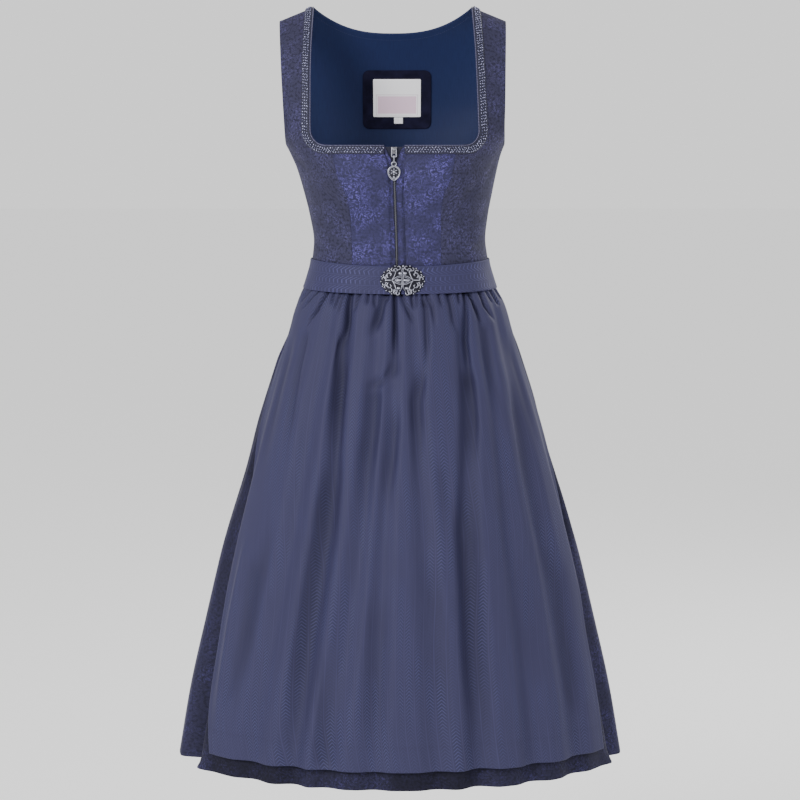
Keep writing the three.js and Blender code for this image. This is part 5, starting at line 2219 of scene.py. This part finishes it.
@dataclass
class Apron:
    """The gathered apron, its band round the waist, and their sewing."""

    finishes: Finishes
    cut: Triple = (0.70, 0.70, 0.63)
    swell: float = 3.6
    deepest: Pair = (-6.0, -11.5)
    edge_sink: float = 3.5
    below_band: float = 0.8
    hem: float = 34.0
    side_hem: float = 9.0
    band_thick: float = 1.5
    band_stitch: float = 2.2
    sewing: Sewing = field(default_factory=Sewing)

    # gathers below the band: places, depth, width
    GATHERS = creases(
        (line, depth, width, 0.0, 0.5, 0.6)
        for line, depth, width in (
            ((-80, -384, -82, -399), 4.0, 2.7),
            ((-75, -384, -78, -404), 4.6, 3.1),
            ((-66, -384, -69, -398), 4.0, 2.7),
            ((-61, -385, -68, -405), 4.6, 3.1),
            ((-53, -386, -58, -400, -63, -414), 5.2, 3.2),
            ((-45, -386, -48, -411, -56, -440), 7.5, 4.2),
            ((-40.5, -386, -39.5, -406), 4.6, 2.4),
            ((-35.6, -386, -37.5, -412), 5.2, 2.7),
            ((-33, -386, -34, -418), 4.6, 2.7),
            ((-29, -386, -27.5, -427, -28, -470), 8.0, 4.2),
            ((-23, -386, -24.5, -414), 5.2, 3.4),
            ((-18, -386, -17.4, -404), 4.6, 2.5),
            ((-14.6, -386, -13.2, -407), 4.6, 2.7),
            ((-8.5, -388, -11, -420, -15.6, -452), 6.9, 6.8),
            ((-6, -386, -7.4, -400), 4.0, 2.2),
            ((-2.7, -386, -2.2, -430, -2.1, -492), 8.0, 3.2),
            ((1.0, -388, 4.5, -410, 8.2, -430), 5.8, 3.2),
            ((6.6, -386, 7.4, -412), 4.6, 2.5),
            ((9.8, -386, 9.0, -410), 4.0, 2.4),
            ((12.9, -386, 13.4, -408), 5.2, 2.5),
            ((15.3, -386, 17.5, -404, 18.2, -440), 6.3, 3.1),
            ((22.5, -386, 22.8, -408), 4.6, 2.5),
            ((28.8, -387, 28.5, -442), 6.9, 5.1),
            ((35.3, -386, 34.8, -405), 4.6, 2.4),
            ((39.6, -386, 34, -450, 30.7, -540), 8.0, 3.6),
            ((43.0, -386, 44, -404, 47.4, -442), 8.0, 4.1),
            ((51.8, -386, 51.5, -405, 57, -430), 6.9, 3.6),
            ((58.0, -386, 60.0, -404), 4.6, 2.7),
            ((64.0, -386, 66.0, -410), 5.2, 3.1),
            ((71.0, -385, 73.0, -402), 4.6, 2.7),
            ((77.0, -384, 79.5, -408), 4.6, 3.1),
        )
    )
    # soft folds that run on down the panel: places, depth, width, head, tail, steep
    CREASES = creases((
        ((-53, -428, -52, -480, -48, -560, -45, -640), 5.5, 10, 0.15, 0.5, 0.6),
        ((-30.5, -435, -27, -500, -25.9, -551, -23, -650), 8.0, 9, 0.1, 0.5, 0.6),
        ((-23.5, -590, -26.2, -658, -28, -760, -28.8, -860, -28, -1006), 6.5, 15, 0.3, 0.3),
        ((-2.0, -466, -3.2, -487, -7.0, -499, -12, -507, -17, -512), 5.0, 6, 0.3, 0.35),
        ((-10.9, -505, -10.9, -559, -12.5, -612, -12.6, -720), 6.0, 10, 0.12),
        ((14.4, -388, 13.1, -451, 11.0, -500), 6.5, 4.4, 0.1, 0.55, 0.7),
        ((11.9, -468, 7.2, -528, 7.0, -570, 6.6, -680), 6.0, 8, 0.25, 0.5, 0.7),
        ((-1.2, -520, -2.8, -600, -5.2, -680), 4.5, 8, 0.3, 0.5, 0.7),
        ((15.2, -590, 15.6, -650, 16.0, -720), 3.5, 10, 0.3),
        ((33, -480, 30.7, -550, 26.2, -640), 7.0, 9, 0.2, 0.5, 0.6),
        ((26.5, -600, 22.4, -736, 20.7, -844, 20.9, -1006), 5.0, 14, 0.3, 0.3),
        ((49, -425, 46, -475, 43, -570), 5.5, 9, 0.15, 0.5, 0.6),
        ((56, -500, 52, -600, 47, -730), 4.0, 12, 0.3),
        ((66, -430, 64, -520, 60, -650), 4.5, 11, 0.3),
        ((43, -700, 41, -840, 40, -960), 3.0, 14, 0.35),
        ((-66, -430, -63, -520, -57, -660), 4.5, 11, 0.3),
        ((-46, -640, -48, -800, -47, -940), 4.0, 15, 0.35),
        ((-21.5, -840, -20.0, -940, -19.5, -1010), 4.0, 12, 0.3, 0.1),
        ((-7.4, -760, -6.6, -860, -7.5, -1000), 3.0, 14, 0.35, 0.3),
        ((9.0, -720, 11.3, -820, 12.8, -1000), 3.0, 12, 0.35, 0.4),
        ((-58.3, -709, -56.9, -755, -56.9, -827, -55.6, -906, -55.3, -983), -5.0, 8, 0.3, 0.3),
        ((-52.0, -728, -51.6, -764, -50.6, -847, -50.8, -919, -50.4, -955), 5.0, 13, 0.3, 0.4, 1.4),
        ((54.9, -718, 57.1, -774, 55.7, -851, 53.9, -934, 53.2, -970), 5.0, 13, 0.3, 0.4),
    ))

    def top(self, share: Array) -> Array:
        """Height of the apron's upper edge, just below the band."""
        return BAND.bottom(SKIRT.apron_turn(share, -380.0 + 0 * share)) - self.below_band

    def front(self) -> None:
        """The apron's panel."""
        shares = edged(250, 620)
        low = edged(120, 558)[:-3]
        heights = np.concatenate((low * 0.89, np.linspace(0.892, 1.0, 38)[:-2], [0.9985, 1.0]))
        share, height = np.meshgrid(shares, heights)
        z = APRON_HEM_Z + (self.top(share) - APRON_HEM_Z) * height
        turn = SKIRT.apron_turn(share, z)
        drawn = self.GATHERS + self.CREASES + HIPS
        relief = creased(drawn, np.degrees(turn), z, SKIRT.reach(z))
        # painted shade, deeper in the creases and the large folds
        fold = np.clip(-relief / 11 + SKIRT.sink(turn, z) / 60 - 0.1, 0, 0.8)
        relief = relief + self.swell * smooth(-478, -398, z)
        near_band, below = self.deepest
        relief = np.maximum(relief, below + (near_band - below) * smooth(-440, -400, z))
        inside = np.minimum(share, 1 - share)
        relief = relief - self.edge_sink * (1 - smooth(0, 0.04, inside)) * smooth(-720, -600, z)
        hem_line = np.exp(-(((z - APRON_HEM_Z - self.hem) / 1.4) ** 2))
        width = inside * self.cut[0] / MM
        side_line = np.exp(-(((width - self.side_hem) / 1.2) ** 2))
        caught = np.maximum(hem_line, side_line)
        # the caught hems sink a little and take a thin line of painted shade
        relief, fold = relief - 0.4 * caught, np.clip(fold + 0.35 * caught, 0, 0.8)
        shell = Shell(
            "apron", SKIRT.apron, share, z, 0.0, APRON_CLOTH, relief,
            step=0.0015, flat=self.cut, fold=fold,
        )
        lay(shell, "apron_weave", Held.GATHERED, ["apron_band"], self.finishes.apron)

    def band(self) -> None:
        """The band, one plain shell with a slight ripple; the real band is folded at its upper edge, and
        its bars of stitches near each edge come from sew().
        """
        start = 0.012
        turn, share = np.meshgrid(
            start + (2 * math.pi - 2 * start) * edged(300, 720), edged(18, 41)
        )
        z = BAND.bottom(turn) + (BAND.top(turn) - BAND.bottom(turn)) * share
        ripple = 0.25 * np.sin(turn * 23 + 2.1) * np.sin(turn * 7) * (1 - share)
        shell = Shell("apron_band", BAND.point, turn, z, 0.0, self.band_thick, ripple)
        fronts = ["front_centre_left", "front_centre_right"]
        lay(shell, "apron_weave", Held.STRETCHED, fronts, self.finishes.band)

    def sew(self) -> None:
        """Stitches along the band's edges."""
        parts = Joined()
        turn = np.linspace(0.03, 2 * math.pi - 0.03, 500)
        for edge in (BAND.top(turn) - self.band_stitch, BAND.bottom(turn) + self.band_stitch):
            self.sewing.sew(parts, Trace.on(BAND.point, turn, edge, ON_CLOTH))
        placed(parts.make("stitches_band"), "apron_weave", finish=self.finishes.thread)

    def make(self) -> None:
        """Makes every piece of the apron."""
        self.front()
        self.band()
        self.sew()


@dataclass
class Clasp:
    """The metal clasp on the band: two mirrored halves of cast openwork scrolls."""

    finishes: Finishes
    centre: float = 3.4
    z: float = -369.0
    half: float = 30.5
    half_height: float = 21.5
    split: float = 0.2
    notch: float = 3.2
    plate: float = 1.3
    dome: float = 2.0

    def at(self, x: Array, z: Array, lift: Array | float) -> Array:
        """Places on the domed clasp.

        Args:
            x: Distance from its middle, in millimetres.
            z: Height over its middle.
            lift: Distance before the band.

        Returns:
            Points.
        """
        x, z = np.broadcast_arrays(np.asarray(x, float), np.asarray(z, float))
        share = np.clip(np.hypot(x / self.half, z / self.half_height), 0, 1)
        away = self.centre + x
        level = self.z + z
        turn = np.sign(away) * BAND.turn_at(np.abs(away) / BAND.half(level))
        height = SEAM_GAP + lift + self.dome * (1 - share) ** 0.8
        return BAND.point(turn, level) + np.asarray(height)[..., None] * outward(
            BAND.point, turn, level
        )

    def base(self, side: Side, parts: Joined) -> None:
        """The plate behind the scrolls, blackened all over: a painted shadow for the shaded band seen
        through the openwork.

        Args:
            side: The side of the garment.
            parts: Where the meshes go.
        """
        turns = np.linspace(-math.pi / 2, math.pi / 2, 49)
        shares = np.array((0.02, 0.2, 0.4, 0.6, 0.75, 0.88, 0.95))
        share, turn = np.meshgrid(shares, turns, indexing="ij")
        down = np.clip(-np.sin(turn), 0, 1) * share
        notch = self.notch * smooth(0.45, 0.8, down) * (1 - smooth(0, 0.5, np.cos(turn)))
        away = self.split + notch + self.half * share * np.maximum(0, np.cos(turn))
        x, z = side.value * away, self.half_height * share * np.sin(turn)
        outer, inner = self.at(x, z, self.plate), self.at(x, z, 0.0)
        skin, edge, _ = double_wall(*share.shape)
        # its rows run round the plate, so its faces turn the other way
        skin, edge = skin[:, [0, 3, 2, 1]], edge[:, [1, 0, 3, 2]]
        if side is Side.LEFT:
            skin, edge = skin[:, ::-1], edge[:, ::-1]
        faces = np.concatenate((skin, skin[:, ::-1] + share.size, edge)).tolist()
        points = np.concatenate((outer.reshape(-1, 3), inner.reshape(-1, 3)))
        # fully blackened: painted shadow behind the openwork
        parts.add(points, faces, recess=1.0)

    def wire(self, parts: Joined, side: Side, line: Array, radius: float, lift: float) -> None:
        """A scroll's wire on the plate, thinner towards its ends.

        Args:
            parts: Where it goes.
            side: Half of the clasp.
            line: Its places, across and up.
            radius: Radius of the wire.
            lift: Distance of its middle before the band.
        """
        line = np.asarray(line, float)
        path = self.at(side.value * line[:, 0], line[:, 1], lift)
        share = np.linspace(-1, 1, len(line))
        parts.add(*tube(path, radius * (1 - 0.45 * share**4), sides=7), recess=0.05)

    def scroll(self, centre: Pair, radius: float, start: float, sweep: float) -> Array:
        """A curl that winds in towards its middle.

        Args:
            centre: Its middle, across and up.
            radius: Its radius at the outer end.
            start: Turn of the outer end, in degrees.
            sweep: How far it winds, in degrees.

        Returns:
            Its places.
        """
        share = np.linspace(0, 1, 22)
        turn = np.radians(start + sweep * share)
        reach = radius * (1 - 0.72 * share)
        return np.stack((centre[0] + reach * np.cos(turn), centre[1] + reach * np.sin(turn)), 1)

    def stone(self, parts: Joined, side: Side, place: Pair, size: Pair, lift: float) -> None:
        """A bright pointed or round boss.

        Args:
            parts: Where it goes.
            side: Half of the clasp.
            place: Its middle, across and up.
            size: Its half-width and half-height.
            lift: Distance of its middle before the band.
        """
        x, z = side.value * place[0], place[1]
        middle = self.at(x, z, lift)
        across = unit(self.at(x + 0.5, z, lift) - self.at(x - 0.5, z, lift))
        up = unit(self.at(x, z + 0.5, lift) - self.at(x, z - 0.5, lift))
        out = np.cross(across, up)
        axes = np.array((across * size[0], up * size[1], out * min(size) * 0.85))
        parts.add(*bead(middle, axes, rings=6, sides=12), recess=0.0)

    def make_half(self, side: Side) -> None:
        """Makes one half.

        Args:
            side: The side of the garment.
        """
        parts = Joined()
        wire, stone = partial(self.wire, parts, side), partial(self.stone, parts, side)
        self.base(side, parts)
        low, high = 1.6, 2.3
        # rim of small scallops, each a curl that turns in, with a bead between two
        for i, degrees in enumerate(np.linspace(-68, 78, 9)):
            turn = math.radians(degrees)
            x = self.half * 0.855 * math.cos(turn)
            z = self.half_height * 0.83 * math.sin(turn)
            way = degrees + (150 if i % 2 else -150)
            curl = self.scroll((max(x, 3.2), z), 3.5, way, 250 if i % 2 else -250)
            wire(curl, 0.62, low)
        for degrees in np.linspace(-60, 70, 8):
            turn = math.radians(degrees)
            place = (self.half * 0.955 * math.cos(turn), self.half_height * 0.95 * math.sin(turn))
            stone(place, (0.95, 0.95), low)
        # a frame of two arcs round the middle boss
        for size, radius in ((1.0, 0.6), (0.72, 0.45)):
            share = np.linspace(0, 1, 20)
            top = np.stack((1.0 + 13.4 * share * size, 5.9 * size * np.cos(share * math.pi / 2)), 1)
            wire(top, radius, high)
            wire(top * (1, -1), radius, high)
        # branches that fork towards the rim
        stem = np.stack((np.linspace(14.6, 23.5, 10), 0 * np.linspace(0, 1, 10)), 1)
        wire(stem, 0.95, high)
        for way in (1, -1):
            share = np.linspace(0, 1, 18)
            fork = np.stack((14.4 - 6.2 * share**0.7, way * (1 + 13.0 * share**1.3)), 1)
            wire(fork, 0.62, high)
            # a leaf, an inner curl and a twig
            for centre, radius, start, sweep, size, lift in (
                ((17.2, way * 7.2), 4.2, -way * 70, way * 330, 0.6, low + 0.3),
                ((9.8, way * 13.2), 3.4, way * 200, -way * 300, 0.58, low + 0.3),
                ((22.0, way * 4.2), 2.7, way * 60, way * 290, 0.52, low + 0.2),
            ):
                wire(self.scroll(centre, radius, start, sweep), size, lift)
        # the inner edge: straight above, where the halves meet, and spread round the slot
        rise = np.linspace(18.0, -15.5, 24)
        slot = self.split + 0.55 + self.notch * smooth(-9.0, -15.5, rise)
        wire(np.stack((slot, rise), 1), 0.38, low)
        stone((5.2, -0.3), (4.2, 1.8), high + 0.2)
        stone((3.1, 9.0), (2.8, 2.1), high + 0.4)
        stone((5.4, -10.8), (2.8, 1.8), high + 0.3)
        wire(self.scroll((7.0, -17.0), 3.0, 150, 300), 0.75, low)
        if side is Side.RIGHT:
            for x, z, size in ((0.0, 19.2, 1.5), (0.0, 15.4, 1.0)):
                stone((x + 0.8, z), (size, size), low + 0.2)
        name = f"clasp_{side.name.lower()}"
        placed(parts.make(f"{name}_scrolls"), "old_silver", [name], self.finishes.silver)

    def make(self) -> None:
        """Makes both halves."""
        for side in Side:
            self.make_half(side)


# ---------------------------------------------------------------- studio


@dataclass
class Studio:
    """A pale floor, soft lights and the camera. Places are in metres."""

    finishes: Finishes
    camera_place: Triple = (0.010, -3.300, -0.181)
    look_down: float = 6.2267
    field_of_view: float = 19.0572
    floor_z: float = -1.42
    floor_half: float = 40.0

    def floor(self) -> None:
        """The floor, as far below the hem as it is below someone who wears the dress."""
        half = self.floor_half / MM
        z = self.floor_z / MM
        corners = [(-half, -half, z), (half, -half, z), (half, half, z), (-half, half, z)]
        made = new_object("studio_floor", np.array(corners), [(0, 1, 2, 3)])
        made.data.materials.append(self.finishes.paper)

    def light(self, name: str, place: Triple, aim: Triple, size: float, power: float) -> None:
        """A square soft light.

        Args:
            name: Its name.
            place: Where it stands.
            aim: What it points at.
            size: Its side.
            power: Its power in watts.
        """
        data = bpy.data.lights.new(name, "AREA")
        data.shape = "SQUARE"
        data.size = size
        data.energy = power
        made = bpy.data.objects.new(name, data)
        away = np.array(place) - np.array(aim)
        made.location = place
        flat = math.hypot(away[0], away[1])
        made.rotation_euler = (math.atan2(flat, away[2]), 0, math.atan2(away[0], -away[1]))
        bpy.context.scene.collection.objects.link(made)

    def world(self) -> None:
        """Even pale light from all around."""
        world = bpy.data.worlds.new("studio_world")
        world.use_nodes = True
        background = world.node_tree.nodes["Background"]
        background.inputs["Color"].default_value = linear("#ffffff")
        background.inputs["Strength"].default_value = 1.15
        bpy.context.scene.world = world

    def camera(self) -> None:
        """The camera, a little above the middle of the dress and looking slightly down."""
        data = bpy.data.cameras.new("camera")
        data.sensor_width = 36.0
        data.lens = 18.0 / math.tan(math.radians(self.field_of_view) / 2)
        made = bpy.data.objects.new("camera", data)
        made.location = self.camera_place
        made.rotation_euler = (math.radians(90 - self.look_down), 0, 0)
        bpy.context.scene.collection.objects.link(made)
        bpy.context.scene.camera = made

    def make(self) -> None:
        """Sets up the studio."""
        self.camera()
        self.world()
        self.floor()
        middle = (0.0, 0.0, -0.5)
        self.light("key_light", (-2.0, -2.9, 0.9), middle, 1.2, 105)
        self.light("fill_light", (2.3, -2.4, -0.1), middle, 1.8, 14)
        self.light("back_light", (2.4, 2.0, 1.1), middle, 1.4, 60)


def main() -> None:
    """Builds the garment piece by piece."""
    logging.basicConfig(level=logging.INFO, format="%(name)s: %(message)s")
    finishes = Finishes()
    Studio(finishes).make()
    for part in (Bodice, ZipFastener, Skirt, Apron, Clasp):
        part(finishes).make()
    LOG.info("%d nodes in the frame", len(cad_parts))


if __name__ == "__main__":
    main()
